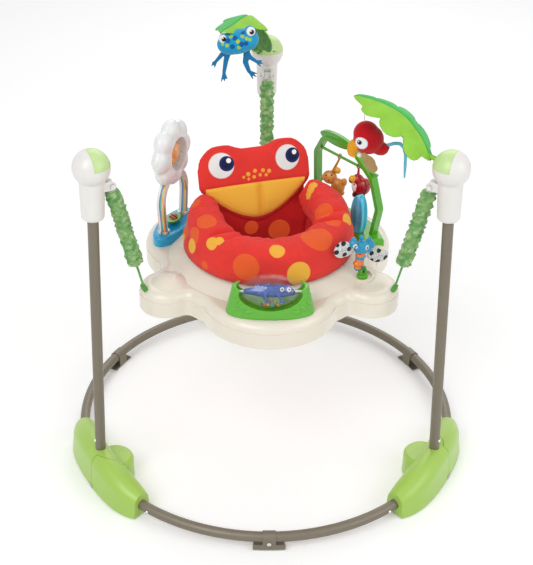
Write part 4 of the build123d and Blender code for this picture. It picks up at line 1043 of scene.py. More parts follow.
wallSkin = stuff(wallForm(), backWall["stuffing"], lambda p: 0.0)
for vert in wallSkin.verts:
    vert.co.y += noise.noise(Vector((vert.co.x * 34, vert.co.z * 30, 5.0))) * backWall["ripple"]
wallPiece = toPiece("seatBackWall", moved(wallSkin, headPlace), clearShell, "seat", ("seat_back",))
wallMarks = marked(wallPiece, [(*dot, dotTints["orange"]) for dot in backWall["dots"]])
refinish(wallPiece, dottedCloth("dottedDarkRed", insideRed, wallMarks))
print("frog head and back wall sewn")

# sling: soft bag below the ring, with its two leg holes
sling = {"voxel": 0.0028, "folds": 0.0022, "pulledIn": 0.0012, "slackFrom": (0.008, 0.05)}


def slingForm():
    bm = bmesh.new()
    bm.from_mesh(nodes["seat_sling"].data)
    bmesh.ops.remove_doubles(bm, verts=bm.verts, dist=0.00002)
    skin = oneSkin(bm, sling["voxel"], 3)
    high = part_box("seat_sling")[1]
    for vert in skin.verts:
        x, y, z = vert.co
        angle = atan2(y, x)
        slack = smoothStep(high.z - z, *sling["slackFrom"])
        fold = noise.noise(Vector((3.2 * cos(angle), 3.2 * sin(angle), z * 9))) * 2
        fold += noise.noise(Vector((8 * cos(angle), 8 * sin(angle), z * 26)))
        out = Vector((x, y, 0)).normalized()
        vert.co += out * (fold * sling["folds"] * slack - sling["pulledIn"] * slack)
    return skin


slingLook = dottedCloth("slingRed", paint("#cf2523"))
slingPiece = toPiece("seatSling", slingForm(), slingLook, "seat", ("seat_sling",))
dress("seat_ring", slingLook)
print("sling sewn")


# more helpers: toys are laid out by the photograph's pixels on the plane that holds each one
def onPlane(x, y, point, out):
    origin, ray = sightLine(x, y)
    return origin + ray * ((point - origin).dot(out) / ray.dot(out))


def facing(point, normal):
    # X to the right, Y away from the camera, Z up
    out = Vector(normal).normalized()
    across = Vector((0, 0, 1)).cross(out).normalized()
    return Vector(point), out, Matrix((across, -out, out.cross(across))).transposed().to_4x4()


def lump(bm, face, x, y, radii, lift=0.0, turn=0.0):
    # ellipsoid at a pixel: radii across, deep and up in millimetres, lifted towards the camera
    point, out, turned = face
    centre = onPlane(x, y, point, out) + out * lift / 1000
    place = Matrix.Translation(centre) @ turned @ Matrix.Rotation(radians(-turn), 4, "Y")
    bmesh.ops.create_uvsphere(bm, u_segments=24, v_segments=14, radius=1.0,
                              matrix=place @ Matrix.Diagonal((*(r / 1000 for r in radii), 1)))
    return centre


def lumps(bm, face, parts):
    for part in parts:
        lump(bm, face, *part)


def joined(bm, face, path, radii, lift=0.0):
    # rounded chain through pixels, radius in millimetres at each
    point, out, _ = face
    spots = [onPlane(x, y, point, out) + out * lift / 1000 for x, y in path]
    for index in range(len(spots) - 1):
        limb(bm, spots[index], spots[index + 1], radii[index] / 1000, radii[index + 1] / 1000)


def ringForm(bm, centre, axis, radius, thickness):
    # ring round an axis, for a loop on a bar
    axis = Vector(axis).normalized()
    side = axis.orthogonal().normalized()
    turn = Matrix((side, axis, side.cross(axis))).transposed().to_4x4()
    place = Matrix.Translation(Vector(centre) + side * radius) @ turn
    made = bmesh.ops.create_circle(bm, segments=16, radius=thickness, matrix=place)
    edges = list({edge for vert in made["verts"] for edge in vert.link_edges})
    bmesh.ops.spin(bm, geom=made["verts"] + edges, cent=centre, axis=axis, angle=2 * pi, steps=32,
                   use_merge=True)


def carve(bm, cutter):
    # takes one closed form out of another
    piece, tool = scratchPiece(bm), scratchPiece(cutter)
    cut = piece.modifiers.new("carve", "BOOLEAN")
    cut.operation = "DIFFERENCE"
    cut.solver = "EXACT"
    cut.object = tool
    made = settled(piece)
    discard(piece)
    discard(tool)
    return made


# leaves over two corners: quilted blade in two greens, bent along its length
leaf = {
    "start": 0.036, "length": 0.185, "spine": 0.031,
    "lobes": ((0.22, 0.024, 0.0235), (0.50, 0.026, 0.0255), (0.75, 0.018, 0.0205)), "thickness": 0.013,
    "bend": 0.190, "crest": 0.485, "tent": 0.34, "arch": {"right": 0.006, "rear": 0.030}, "archEnd": 0.90,
    "puff": 0.0075, "veins": (0.36, 0.62, 0.85), "crease": 0.0034,
    "stuffing": {"voxel": 0.0024, "pressure": 3.0, "stretch": 18.0, "cap": 0.003},
    "tips": {"right": (0.172, -0.096, 0.822), "rear": (-0.078, 0.236, 0.822)}, "near": "#97d247",
    "far": "#5cc56a", "under": "#5e9a4c",
}


def inLeaf(x, z):
    along, half = x - leaf["start"], leaf["length"] / 2
    if ((along - half) / half) ** 2 + (z / leaf["spine"]) ** 2 < 1:
        return True
    return any(hypot(along - share * leaf["length"], abs(z) - out) < radius
               for share, out, radius in leaf["lobes"])


def leafRise(along, side, corner):
    # height of the blade's middle sheet: bent along its length, with both halves falling from the spine
    share = (along - leaf["start"]) / leaf["length"]
    run = along - leaf["start"] - leaf["crest"] * leaf["length"]
    rise = leaf["thickness"] / 2 - leaf["bend"] + sqrt(leaf["bend"] ** 2 - run ** 2)
    if 0 < share < leaf["archEnd"]:
        rise += leaf["arch"][corner] * sin(pi * share / leaf["archEnd"]) ** 2
    return rise - leaf["tent"] * max(0.0, abs(side) - 0.006)


def leafForm(corner):
    middle = leaf["start"] + 0.47 * leaf["length"]
    bm = pillow(inLeaf, (middle, 0), lambda x, z: leaf["puff"], lambda x, z: 0.5 * leaf["puff"],
                segments=160, rings=22, edge=4.0)
    skin = stuff(bm, leaf["stuffing"], lambda p: 1.0 if abs(p.z) < 0.003 else 0.0)
    top = []
    for vert in skin.verts:
        x, y, z = vert.co
        dip = leaf["crease"] * exp(-(z / 0.0032) ** 2)
        for share in leaf["veins"]:
            vein = x - (leaf["start"] + share * leaf["length"] + 0.35 * abs(z) - 0.012)
            dip += 0.0016 * exp(-(vein / 0.003) ** 2) * smoothStep(abs(z), 0.004, 0.012)
        dip -= noise.noise(Vector((x * 46, z * 46, 3.0))) * 0.0012
        y += dip if y < 0 else -0.4 * dip
        top.append(1.0 if y < 0 else 0.0)
        vert.co = (x, -z, leafRise(x, z, corner) - y)
    return skin, top


def leafLook(corner, place):
    look = cloth(corner + "LeafCloth", paint(leaf["near"]), 300.0, 0.3, 0.15)
    y = look.local(place.translation, place.to_euler())[1]
    soft = look.spread(look.noise(30.0), 0.0, 1.0)
    near = look.mix(soft, shade(paint(leaf["near"]), 0.9), shade(paint(leaf["near"]), 1.06))
    far = look.mix(soft, shade(paint(leaf["far"]), 0.9), shade(paint(leaf["far"]), 1.06))
    top = look.mix(look.spread(y, 1.0, 0.0, -0.0006, 0.0006), near, far)
    seam = look.spread(look.math("ABSOLUTE", y), 1.0, 0.0, 0.0006, 0.0024)
    top = look.mix(look.math("MULTIPLY", seam, 0.6), top, paint("#4f8f2c"))
    upper = look.add("ShaderNodeAttribute", attribute_name="upperSide").outputs["Fac"]
    crumple = look.noise(120.0, 3.0)
    under = look.mix(look.spread(crumple, 0.0, 1.0), shade(paint(leaf["under"]), 0.7),
                     shade(paint(leaf["under"]), 1.25))
    look.colour(look.mix(look.spread(upper, 0.0, 1.0, 0.4, 0.6), under, top))
    return look.material


def hangLeaf(corner):
    root = polar(jumper["hub"][0], jumper["corners"][corner], jumper["hub"][1])
    out = (Vector(leaf["tips"][corner]) - root).normalized()
    side = Vector((0, 0, 1)).cross(out).normalized()
    place = Matrix.Translation(root) @ Matrix((out, side, out.cross(side))).transposed().to_4x4()
    bm, top = leafForm(corner)
    limb(bm, (0.024, 0, -0.004), (0.046, 0, leafRise(0.046, 0, corner)), 0.0042, 0.0048)
    top += [1.0] * (len(bm.verts) - len(top))
    piece = toPiece(corner + "Leaf", moved(bm, place), leafLook(corner, place), "frame",
                    ("leaf_" + corner,))
    piece.data.attributes.new("upperSide", "FLOAT", "POINT").data.foreach_set("value", top)


for corner in ("right", "rear"):
    hangLeaf(corner)
print("leaves sewn")


def tieOn(bm, body, radii):
    # tapered stub where a stuffed toy is tied to the end of its cord
    facts = hangingCords[body]
    end = Vector(facts["hook"]) - Vector((0, 0, facts["drop"]))
    high, low = hangingCords["stub"]
    limb(bm, end - Vector((0, 0, high)), end - Vector((0, 0, low)), *radii)


# stuffed frog on its cord
frog = {
    "face": facing((-0.0850, 0.2220, 0.758), (0, -1, 0)),
    "body": ((237.5, 41.5, (37, 29, 25), 0, 12), (231, 43, (29, 26, 22), 4, 6),
             (245, 40, (29, 26, 23), 0, 14), (224.0, 36.2, (11, 11, 11), 13, 0),
             (250.0, 29.5, (12, 12, 12), 9, 0)),
    "spots": (
        ("#a8c83a", ((222.5, 44, 3.6), (227, 45.6, 3.8), (231, 36.5, 4.2), (238, 41.6, 4.4),
                     (242.4, 36.4, 4.0), (246.6, 38.6, 3.8), (239, 47.6, 4.0), (250, 39.6, 3.6))),
        ("#145a9c", ((228, 40.6, 5.2), (235, 38.0, 5.4), (241.6, 44.4, 5.4), (246, 43.6, 4.8),
                     (232.4, 46.8, 5.2), (243, 32.6, 4.6))),
        ("#f0f0ee", ((221.6, 38.4, 9.0), (251.4, 31.4, 10.0))),
        ("#17181c", ((223.8, 39.4, 4.8), (252.0, 32.2, 5.0))),
        ("#f0f0ee", ((222.8, 38.2, 1.5), (250.9, 31.0, 1.6))),
    ),
    "limbs": (((229, 48), (222, 54), (216, 61), 7, 5, 3.6), ((229, 49), (226, 60), (224, 72), 7, 5.5, 4),
              ((245, 49), (250, 57), (256, 61), 7, 5, 3.6), ((247, 50), (245.5, 62), (249, 71), 7, 6, 4.4)),
    "toes": (((216, 61), ((211.6, 65.4), (214.6, 66.8), (212.2, 62.6))),
             ((224, 72), ((221.4, 81), (224.6, 80.6), (227, 78.4))),
             ((256, 61), ((263, 63.4), (261.6, 60.6), (260.6, 66))),
             ((249, 71), ((256, 76.4), (253, 78.4), (256.6, 73.2)))),
    "blue": "#1a9ccc", "limbBlue": "#1c7cb0", "neck": (0.0035, 0.006), "toeRadii": (3.2, 1.7), "flat": 0.62,
    "stuffing": {"voxel": 0.0022, "pressure": 2.0, "stretch": 18.0, "cap": 0.002},
}


def stuffedFrog():
    bm = bmesh.new()
    lumps(bm, frog["face"], frog["body"])
    tieOn(bm, "frog", frog["neck"])
    body = toPiece("frogBody", stuff(bm, frog["stuffing"], lambda p: 0.0), clearShell, "frog",
                   ("frog_body",))
    spots = [(*spot, tint) for tint, group in frog["spots"] for spot in group]
    refinish(body, plush("frogPlush", paint(frog["blue"]), marked(body, spots)))
    bm = bmesh.new()
    for start, knee, end, *radii in frog["limbs"]:
        joined(bm, frog["face"], (start, knee, end), radii)
    for start, ends in frog["toes"]:
        for end in ends:
            joined(bm, frog["face"], (start, end), frog["toeRadii"])
    for vert in bm.verts:
        vert.co.y = between(frog["face"][0].y - 0.004, vert.co.y, frog["flat"])
    limbs = toPiece("frogLimbs", oneSkin(bm, 0.0012, 3), plush("frogLimbPlush", paint(frog["limbBlue"])),
                    "frog", ("frog_limbs",))


stuffedFrog()

# stuffed parrot on its cord
parrot = {
    "face": facing((0.1770, -0.0950, 0.741), (0, -1, 0)),
    "body": ((368.5, 139.5, (29, 21, 29), 0, 0), (366.0, 133.0, (24, 20, 24), 1, 0),
             (379.5, 148.0, (18, 12, 14), 0, -22), (385.6, 147.6, (8, 7, 8), 0, 0)),
    "marks": ((361.0, 143.4, 12.5, "#d9dce2"), (361.2, 143.2, 11.0, "#f2f3f4"),
              (359.4, 142.4, 5.2, "#8d97a8"), (359.2, 142.4, 4.2, "#17181c"),
              (358.4, 141.4, 1.4, "#f2f3f4")),
    "beak": ((353.4, 145.4, (11, 9, 14), 4, 0), (351.2, 149.6, (8, 7, 13), 3, 8),
             (353.6, 153.6, (5, 4, 7), 3, 14)),
    "jaw": ((359.6, 153.0, (6, 5, 5), 8, 0),),
    "wing": ((364.6, 153.0, (6, 3, 10), 17, 20), (368.6, 158.4, (11, 3, 17), 17, 32),
             (372.0, 164.0, (9, 3, 11), 16, 32)),
    "tail": ((386.5, 145.6), (394, 143.4), (400, 143.6), (404, 147.6), (405.6, 155), (405.2, 166),
             (404.4, 177.5)),
    "tailRadii": (3.4, 3.4, 3.4, 3.4, 3.3, 3.0, 1.8), "neck": (0.004, 0.008),
    "trims": (("parrotBeak", "beak", "#eba122", ("parrot_trim",)), ("parrotJaw", "jaw", "#ece7da", ()),
              ("parrotWing", "wing", "#b39362", ())),
    "stuffing": {"voxel": 0.0022, "pressure": 2.0, "stretch": 18.0, "cap": 0.002},
}


def stuffedParrot():
    face = parrot["face"]
    bm = bmesh.new()
    lumps(bm, face, parrot["body"])
    tieOn(bm, "parrot", parrot["neck"])
    body = toPiece("parrotBody", stuff(bm, parrot["stuffing"], lambda p: 0.0), clearShell, "parrot",
                   ("parrot_body",))
    refinish(body, plush("parrotPlush", paint("#c4101c"), marked(body, parrot["marks"])))
    for name, key, tint, stands in parrot["trims"]:
        bm = bmesh.new()
        lumps(bm, face, parrot[key])
        piece = toPiece(name, oneSkin(bm, 0.0012, 3), plush(name + "Plush", paint(tint)), "parrot", stands)
    bm = bmesh.new()
    joined(bm, face, parrot["tail"], parrot["tailRadii"])
    piece = toPiece("parrotTail", oneSkin(bm, 0.0009, 2), plush("ribbonPlush", paint("#6cc6de")), "parrot",
                    ())


stuffedParrot()
print("stuffed toys sewn")

# sky station: puffed cloud with a pocket for the sun, striped rainbow, beetle on a leaf
sky = {
    "place": (0.214, 157.0), "cloudHeight": 0.616, "lobes": 8, "lobeAt": 0.0440,
    "lobe": (0.0270, 0.0270, 0.0188), "core": (0.060, 0.060, 0.0190), "pocket": 0.0343,
    "pocketFloor": -0.008, "pinRadius": 0.00245, "pinTop": 0.0128, "voxel": 0.0022, "outer": 0.0603,
    "rim": (0.0415, 0.0385, 0.036), "pocketDepth": 0.04, "legSlope": 0.12, "legTop": 0.0665,
    "arcHeight": 0.061,
    "stripes": ((0.0022, 0.0040, "#f08a2a"), (0.0040, 0.0056, "#f2cf3a"), (0.0056, 0.0072, "#5fb04a"),
                (0.0072, 0.0088, "#3f9fd0"), (0.0088, 0.0106, "#7d5aa8")),
    "leafTop": 0.4662, "beetle": 0.0106,
}


def puffCloud():
    radius, angle = sky["place"]
    out = -polar(1, angle)
    up = Vector((0, 0, 1))
    side = up.cross(out)
    place = Matrix.Translation(polar(radius, angle, sky["cloudHeight"]))
    place = place @ Matrix((side, up, out)).transposed().to_4x4()
    bm = bmesh.new()
    ball(bm, (0, 0, 0), sky["core"], rings=20)
    for index in range(sky["lobes"]):
        turn = 2 * pi * index / sky["lobes"]
        ball(bm, (sky["lobeAt"] * cos(turn), sky["lobeAt"] * sin(turn), 0), sky["lobe"], rings=16)
    wide, narrow, depth = sky["rim"]
    bmesh.ops.create_cone(bm, cap_ends=True, segments=64, radius1=wide, radius2=narrow, depth=depth)
    bm = finer(oneSkin(bm, sky["voxel"], 9))
    cutter = bmesh.new()
    bmesh.ops.create_cone(cutter, cap_ends=True, segments=72, radius1=sky["pocket"], radius2=sky["pocket"],
                          depth=sky["pocketDepth"],
                          matrix=Matrix.Translation((0, 0, sky["pocketFloor"] + sky["pocketDepth"] / 2)))
    bm = carve(bm, cutter)
    pinFoot = sky["pocketFloor"] - 0.002
    bmesh.ops.create_cone(bm, cap_ends=True, segments=24, radius1=sky["pinRadius"],
                          radius2=sky["pinRadius"], depth=sky["pinTop"] - pinFoot,
                          matrix=Matrix.Translation((0, 0, (sky["pinTop"] + pinFoot) / 2)))
    pearl = plastic("cloudWhite", paint("#eceeee"), 0.22, 0.05, Subsurface_Weight=0.15)
    toPiece("puffCloud", moved(bm, place), pearl, "tray", ("cloud",), sharp=38)


def rainbowLook():
    radius, angle = sky["place"]
    look = Finish("rainbowStripes", 0.3, Coat_Weight=0.2)
    x, y, z = look.local(polar(radius, angle, jumper["trayTop"]), (0, 0, radians(angle - 90)))
    below = look.math("MAXIMUM", look.math("SUBTRACT", sky["legTop"], z), 0.0)
    wide = look.math("ADD", look.math("ABSOLUTE", x), look.math("MULTIPLY", below, sky["legSlope"]))
    above = look.math("MAXIMUM", look.math("SUBTRACT", z, sky["arcHeight"]), 0.0)
    far = look.math("SQRT", look.math("ADD", look.math("MULTIPLY", wide, wide),
                                      look.math("MULTIPLY", above, above)))
    inward = look.math("SUBTRACT", sky["outer"], far)
    face = look.spread(look.math("ABSOLUTE", y), 0.0, 1.0, 0.0060, 0.0064)
    colour = look.mix(look.spread(look.noise(30.0), 0.0, 1.0), paint("#e8e8e6"), paint("#f0f0ef"))
    for low, high, tint in sky["stripes"]:
        inside = look.math("MULTIPLY", look.spread(inward, 0.0, 1.0, low - 0.0001, low + 0.0001),
                           look.spread(inward, 1.0, 0.0, high - 0.0001, high + 0.0001))
        across = look.math("ADD", y, 0.0088)
        edge = look.math("MULTIPLY", look.spread(across, 0.0, 1.0, low - 0.0001, low + 0.0001),
                         look.spread(across, 1.0, 0.0, high - 0.0001, high + 0.0001))
        shown = look.math("MAXIMUM", look.math("MULTIPLY", inside, face),
                          look.math("MULTIPLY", edge, look.math("SUBTRACT", 1.0, face)))
        colour = look.mix(shown, colour, paint(tint))
    look.colour(colour)
    look.bump(look.noise(420.0, 2.0), 0.05, 0.0004)
    return look.material


def beetleLook():
    look = Finish("beetleLeaf", 0.3, Coat_Weight=0.2)
    centre = polar(*sky["place"], sky["leafTop"])
    height = look.split(look.place)[2]
    high = look.spread(height, 0.0, 1.0, sky["leafTop"], sky["leafTop"] + 0.0003)
    band = look.wave(62.0, "DIAGONAL")
    back = look.mix(look.spread(band, 0.0, 1.0, 0.45, 0.55), paint("#17181c"), paint("#e8642a"))
    green = look.mix(look.spread(look.wave(70.0, "Y"), 0.0, 1.0, 0.42, 0.6), paint("#3f9a2c"),
                     paint("#62b83a"))
    look.colour(look.mix(look.math("MULTIPLY", high, look.within(look.away(centre), sky["beetle"] + 0.003)),
                         green, back))
    look.bump(look.noise(200.0, 2.0), 0.08, 0.0005)
    return look.material


puffCloud()
dress("rainbow_arch", rainbowLook())
dress("leaf_spinner", beetleLook())
dress("sun_spinner", plastic("sunYellow", paint("#f6a52f"), 0.3))
print("sky station done")

# music station: monkey and bird that hang from the bar, arch and water
music = {
    "run": (0.628, -0.778, 0.0), "loop": (0.0050, 0.0013), "linkTop": 0.0058, "link": (0.0022, 0.004),
    "monkey": {
        "hook": (0.1487, 0.1366, 0.582), "face": facing((0.1443, 0.1421, 0.547), (-0.40, -0.92, 0)),
        "parts": ((329.8, 177.0, (16, 12, 15), 0, 0), (323.6, 177.4, (6.5, 5, 6.5), 0, 0),
                  (337.2, 170.8, (7.5, 6, 7.5), -2, 0), (338.0, 186.0, (15, 12, 18), 0, 8),
                  (334.0, 193.0, (7, 7, 6), 4, 0), (341.6, 192.4, (7, 7, 6), 2, 0),
                  (329.6, 186.6, (6, 5, 6), 8, 0), (343.6, 182.6, (7, 8, 9), -2, 0)),
        "hung": 0, "base": "#c98129",
        "marks": ((328.6, 178.0, 11.0, "#d89a44"), (337.6, 170.4, 7.5, "#e6b02a"),
                  (323.2, 177.6, 3.4, "#d89a44"), (326.0, 175.4, 1.9, "#3a1c10"),
                  (331.6, 175.0, 1.9, "#3a1c10"), (325.0, 179.4, 2.6, "#d8607a"),
                  (333.0, 179.0, 2.6, "#d8607a"), (328.6, 180.6, 1.7, "#5a2412"),
                  (339.6, 188.0, 6.0, "#cf8f3a")),
    },
    "toucan": {
        "hook": (0.1849, 0.0918, 0.582), "face": facing((0.1824, 0.0949, 0.548), (-0.40, -0.92, 0)),
        "parts": ((360.0, 186.4, (18, 13, 22), 0, 0), (358.0, 179.6, (13, 11, 13), 1, 0),
                  (352.8, 178.8, (8, 7, 9), 3, 0), (364.6, 186.6, (12, 14, 18), -1, 0),
                  (355.8, 193.8, (7, 7, 7), 3, 0), (361.6, 195.6, (8, 6, 8), 0, 0)),
        "hung": 1, "base": "#b40d18",
        "marks": ((352.0, 178.4, 8.5, "#eba91f"), (353.8, 185.6, 7.0, "#f0f0ee"),
                  (353.6, 188.6, 6.0, "#f0f0ee"), (354.2, 184.4, 2.0, "#17181c"),
                  (355.6, 194.4, 5.4, "#17181c"), (350.2, 181.8, 3.0, "#17181c"),
                  (366.0, 190.6, 4.0, "#8a0812"), (367.4, 184.6, 4.0, "#8a0812")),
    },
}


def hangToy(name):
    facts = music[name]
    hook = Vector(facts["hook"])
    bm = bmesh.new()
    lumps(bm, facts["face"], facts["parts"])
    ringForm(bm, hook, music["run"], *music["loop"])
    crown = onPlane(*facts["parts"][facts["hung"]][:2], *facts["face"][:2])
    limb(bm, hook - Vector((0, 0, music["linkTop"])), crown, *music["link"])
    piece = toPiece(name + "Toy", oneSkin(bm, 0.0009, 3), clearShell, name, (name,))
    refinish(piece, printed(name + "Paint", paint(facts["base"]), marked(piece, facts["marks"])))


hangToy("monkey")
hangToy("toucan")
dress("music_arch", plastic("archGreen", paint("#57aa2c"), 0.22))
water = Finish("waterBlue", 0.14, Coat_Weight=0.4, Subsurface_Weight=0.1)
ripple = water.wave(30.0, "X")
water.colour(water.mix(water.spread(ripple, 0.0, 1.0, 0.2, 0.8), paint("#3ab8e2"), paint("#66cfee")))
water.bump(water.math("ADD", ripple, water.math("MULTIPLY", water.noise(60.0), 1.5)), 0.2, 0.002)
dress("waterfall", water.material)
print("music station done")

# bug on its spring stalk: horned head, mouth, collar and two spotted wings
bug = {
    "face": facing((0.184, -0.098, 0.502), (0.423, -0.906, 0)), "pivot": (0.184, -0.098, 0.452),
    "head": ((362.0, 247.4, (17, 12, 16), 0, 0), (353.4, 243.4, (9, 9, 9), 0, 0),
             (370.6, 244.4, (9, 9, 9), 0, 0), (360.0, 255.6, (10, 9, 9), 1, 0),
             (353.4, 239.4, (4.4, 4.4, 5), 0, 0), (361.6, 237.6, (4.8, 4.8, 5.5), 0, 0),
             (369.6, 239.4, (4.4, 4.4, 5), 0, 0), (355.4, 246.4, (5, 5, 5), 8, 0),
             (367.4, 247.6, (5, 5, 5), 8, 0), (360.2, 255.0, (8.5, 5, 4.6), 8, 0),
             (359.6, 259.0, (10, 8, 7), 1, 0), (358.4, 262.8, (12, 9, 7), 1, 0),
             (357.4, 267.0, (8, 7, 8), 0, 0)),
    "marks": ((355.4, 246.4, 4.6, "#f0f0ee"), (355.6, 246.8, 2.3, "#17181c"),
              (367.4, 247.6, 4.6, "#f0f0ee"), (367.6, 248.0, 2.3, "#17181c"),
              (357.6, 255.2, 4.4, "#ee7d22"), (362.6, 254.8, 4.4, "#ee7d22"),
              (360.0, 255.4, 4.4, "#ee7d22"), (360.0, 254.4, 2.0, "#a8380f")),
    "collar": 0.0128, "collarAt": (358.4, 262.8), "stalk": (0.010, 0.002, 0.008, 0.0026),
    "wings": ((342.4, 249.6, (19, 3.2, 19), 0, 0), (346.8, 251.0, (15, 3.2, 13), 0, 0),
              (378.8, 255.6, (23, 3.2, 15), 0, -14), (374.0, 253.4, (17, 3.2, 12), 0, 0)),
    "dots": ((336.6, 252.6, 5.4), (343.6, 243.6, 5.4), (344.6, 254.6, 5.0), (349.2, 249.0, 5.0),
             (337.4, 245.2, 4.0), (371.6, 253.4, 4.8), (379.0, 250.4, 5.4), (385.6, 257.6, 5.6),
             (377.4, 261.6, 5.6), (388.6, 252.6, 4.0), (371.4, 260.0, 4.4)),
}


def springBug():
    face = bug["face"]
    pivot = Vector(bug["pivot"])
    bm = bmesh.new()
    lumps(bm, face, bug["head"])
    collar = onPlane(*bug["collarAt"], *face[:2])
    high, low, thick, thin = bug["stalk"]
    limb(bm, collar, pivot + Vector((0, 0, high)), thick, thin)
    limb(bm, pivot + Vector((0, 0, high)), pivot + Vector((0, 0, low)), thin, thin)
    piece = toPiece("bugBody", oneSkin(bm, 0.0010, 3), clearShell, "bug", ("bug_body",))
    marks = [(collar, bug["collar"], paint("#ee7d22")), *marked(piece, bug["marks"])]
    refinish(piece, printed("bugPaint", paint("#1296c2"), marks))
    bm = bmesh.new()
    lumps(bm, face, bug["wings"])
    wings = toPiece("bugWings", oneSkin(bm, 0.0012, 3), clearShell, "bug", ("bug_wings",))
    look = Finish("wingPrint", 0.8, Sheen_Weight=0.1)
    net = look.noise(330.0, 2.0, 0.6)
    ground = look.mix(look.spread(net, 0.0, 1.0, 0.42, 0.56), paint("#bcbdbd"), paint("#e6e6e4"))
    look.colour(spotted(look, ground, marked(wings, [(x, y, r, "#17181c") for x, y, r in bug["dots"]])))
    look.bump(net, 0.2, 0.0005)
    refinish(wings, look.material)


springBug()
print("bug done")

# roller: crested lizard on the axle and loose beads in the clear shell
roller = {
    "centre": (0.0, -0.216, 0.477), "bore": 0.0031,
    "crest": (-0.026, -0.019, -0.012, -0.005, 0.002, 0.009, 0.016),
    "beads": ((-0.010, -0.010, -0.0262, "#e8352c"), (-0.004, -0.006, -0.0272, "#f2c52e"),
              (0.003, -0.011, -0.0262, "#37a8d8"), (0.009, -0.004, -0.0268, "#58b447"),
              (0.014, -0.010, -0.0252, "#f08a2a"), (-0.016, -0.004, -0.0256, "#7d5aa8"),
              (0.000, 0.002, -0.0274, "#e8352c"), (-0.006, 0.006, -0.0270, "#58b447"),
              (0.008, 0.006, -0.0268, "#f2c52e")),
    "beadRadius": 0.0026, "voxel": 0.0010, "spike": (0.007, 0.0185, 0.0025, 0.0034, 0.0011),
    "rolls": (((-0.020, 0, 0), (0.022, 0, 0), 0.0105, 0.0115),
              ((-0.046, 0, 0), (-0.018, 0, 0), 0.0052, 0.010)),
    "snout": (((0.029, -0.001, 0.002), (0.0140, 0.0115, 0.0108)),
              ((0.040, -0.001, -0.001), (0.0070, 0.0085, 0.0060))),
    "eyes": ((0.021, -0.0085, 0.0095), (0.034, -0.0085, 0.0095)), "eyeRadius": 0.0048,
    "eyeMarks": ((0.0045, 0.0044, "#f0f0ee"), (0.0047, 0.0021, "#17181c")),
    "legs": ((-0.014, -1), (0.014, -1), (-0.014, 1), (0.014, 1)), "toes": (-0.004, 0.0, 0.004),
    "blues": ("#0b2a78", "#1f55b2"),
}


def rollerLizard():
    middle = Vector(roller["centre"])
    bm = bmesh.new()
    for start, end, *radii in roller["rolls"]:
        limb(bm, start, end, *radii)
    for centre, radii in roller["snout"]:
        ball(bm, centre, radii)
    low, high, lean, thick, thin = roller["spike"]
    for x in roller["crest"]:
        limb(bm, (x, 0, low), (x - lean, 0, high), thick, thin)
    for eye in roller["eyes"]:
        ball(bm, eye, roller["eyeRadius"])
    for x, side in roller["legs"]:
        ankle = (x + 0.006, side * 0.014, -0.011)
        limb(bm, (x, side * 0.006, -0.003), ankle, 0.0036, 0.0024)
        for turn in roller["toes"]:
            limb(bm, ankle, (x + 0.009 + turn, side * 0.0165, -0.0145), 0.0016, 0.0012)
    skin = oneSkin(bm, roller["voxel"], 2)
    cutter = bmesh.new()
    bmesh.ops.create_cone(cutter, cap_ends=True, segments=32, radius1=roller["bore"],
                          radius2=roller["bore"], depth=0.2, matrix=Matrix.Rotation(radians(90), 4, "Y"))
    skin = carve(skin, cutter)
    marks = []
    for eye in roller["eyes"]:
        for out, size, tint in roller["eyeMarks"]:
            marks.append((middle + Vector(eye) + Vector((0.0006, -0.86 * out, 0.5 * out)), size,
                          paint(tint)))
    look = Finish("lizardPaint", 0.4)
    scale = look.noise(240.0, 3.0)
    ground = look.mix(look.spread(scale, 0.0, 1.0, 0.42, 0.56), *(paint(tint) for tint in roller["blues"]))
    look.colour(spotted(look, ground, marks))
    look.bump(scale, 0.3, 0.0008)
    toPiece("rollerLizard", moved(skin, Matrix.Translation(middle)), look.material, "roller",
            ("roller_lizard",))
    beads, marks = bmesh.new(), []
    for x, y, z, tint in roller["beads"]:
        ball(beads, middle + Vector((x, y, z)), roller["beadRadius"], rings=10)
        marks.append((middle + Vector((x, y, z)), roller["beadRadius"] * 1.3, paint(tint)))
    toPiece("rollerBeads", beads, printed("beadPaint", paint("#e8352c"), marks), "roller")


rollerLizard()
print("roller filled")

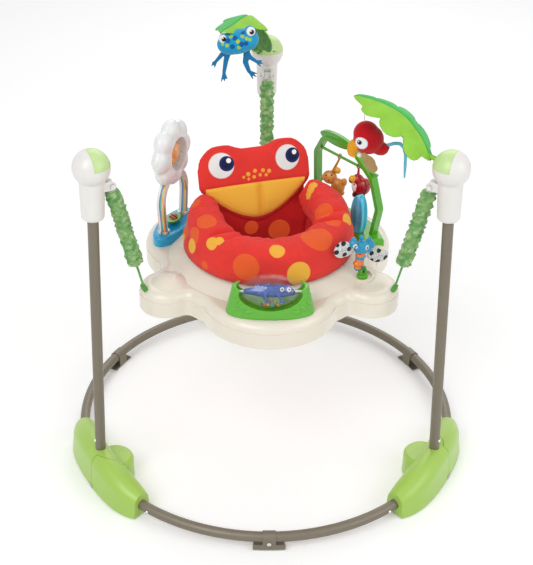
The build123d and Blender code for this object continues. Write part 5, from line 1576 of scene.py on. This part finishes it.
# roller's cradle: oval foot hollowed by the roller's room, raised leaves on its two slopes
cradle = {
    "centre": (0.0, -0.216), "half": (0.0845, 0.0350), "topHalf": (0.0718, 0.0265), "foot": 0.4344,
    "top": 0.4905, "square": 2.3, "room": (0.0668, 0.0395, 0.0395), "voxel": 0.0012, "relief": 0.0022,
    "flatTo": 0.45,
    "leaves": ((236.0, 301.0, 10.0, 4.4, 65.0), (240.6, 308.0, 10.0, 4.4, 35.0),
               (248.4, 312.0, 10.0, 4.0, 12.0), (308.4, 301.6, 10.0, 4.4, -65.0),
               (304.0, 308.6, 10.0, 4.4, -35.0), (296.4, 312.4, 10.0, 4.0, -12.0)),
}


def hollowCradle():
    x0, y0 = cradle["centre"]
    bm = bmesh.new()
    bmesh.ops.create_cone(bm, cap_ends=True, segments=96, radius1=1.0, radius2=1.0, depth=1.0)
    for vert in bm.verts:
        turn = atan2(vert.co.y, vert.co.x)
        half = cradle["half"] if vert.co.z < 0 else cradle["topHalf"]
        power = 2 / cradle["square"]
        vert.co = (x0 + half[0] * signedPower(cos(turn), power),
                   y0 + half[1] * signedPower(sin(turn), power),
                   cradle["foot"] if vert.co.z < 0 else cradle["top"])
    room = bmesh.new()
    ball(room, roller["centre"], cradle["room"], rings=40)
    skin = oneSkin(carve(bm, room), cradle["voxel"], 4)
    low = min(vert.co.z for vert in skin.verts)
    for vert in skin.verts:
        vert.co.z += (cradle["foot"] - low) * (1 - smoothStep(vert.co.z, cradle["foot"], cradle["flatTo"]))
    piece = toPiece("rollerCradle", skin, grassGreen, "tray", ("roller_cradle",))
    bm = bmesh.new()
    for x, y, length, width, turn in cradle["leaves"]:
        spot, normal = seenAt(x, y, piece)
        if spot is None:
            continue
        place = Matrix.Translation(spot) @ normal.to_track_quat("Z", "Y").to_matrix().to_4x4()
        size = Matrix.Diagonal((length / 1000, width / 1000, cradle["relief"], 1))
        place = place @ Matrix.Rotation(radians(turn), 4, "Z") @ size
        bmesh.ops.create_uvsphere(bm, u_segments=20, v_segments=12, radius=1.0, matrix=place)
    toPiece("cradleLeaves", bm, grassGreen, "tray")


hollowCradle()
print("cradle done")
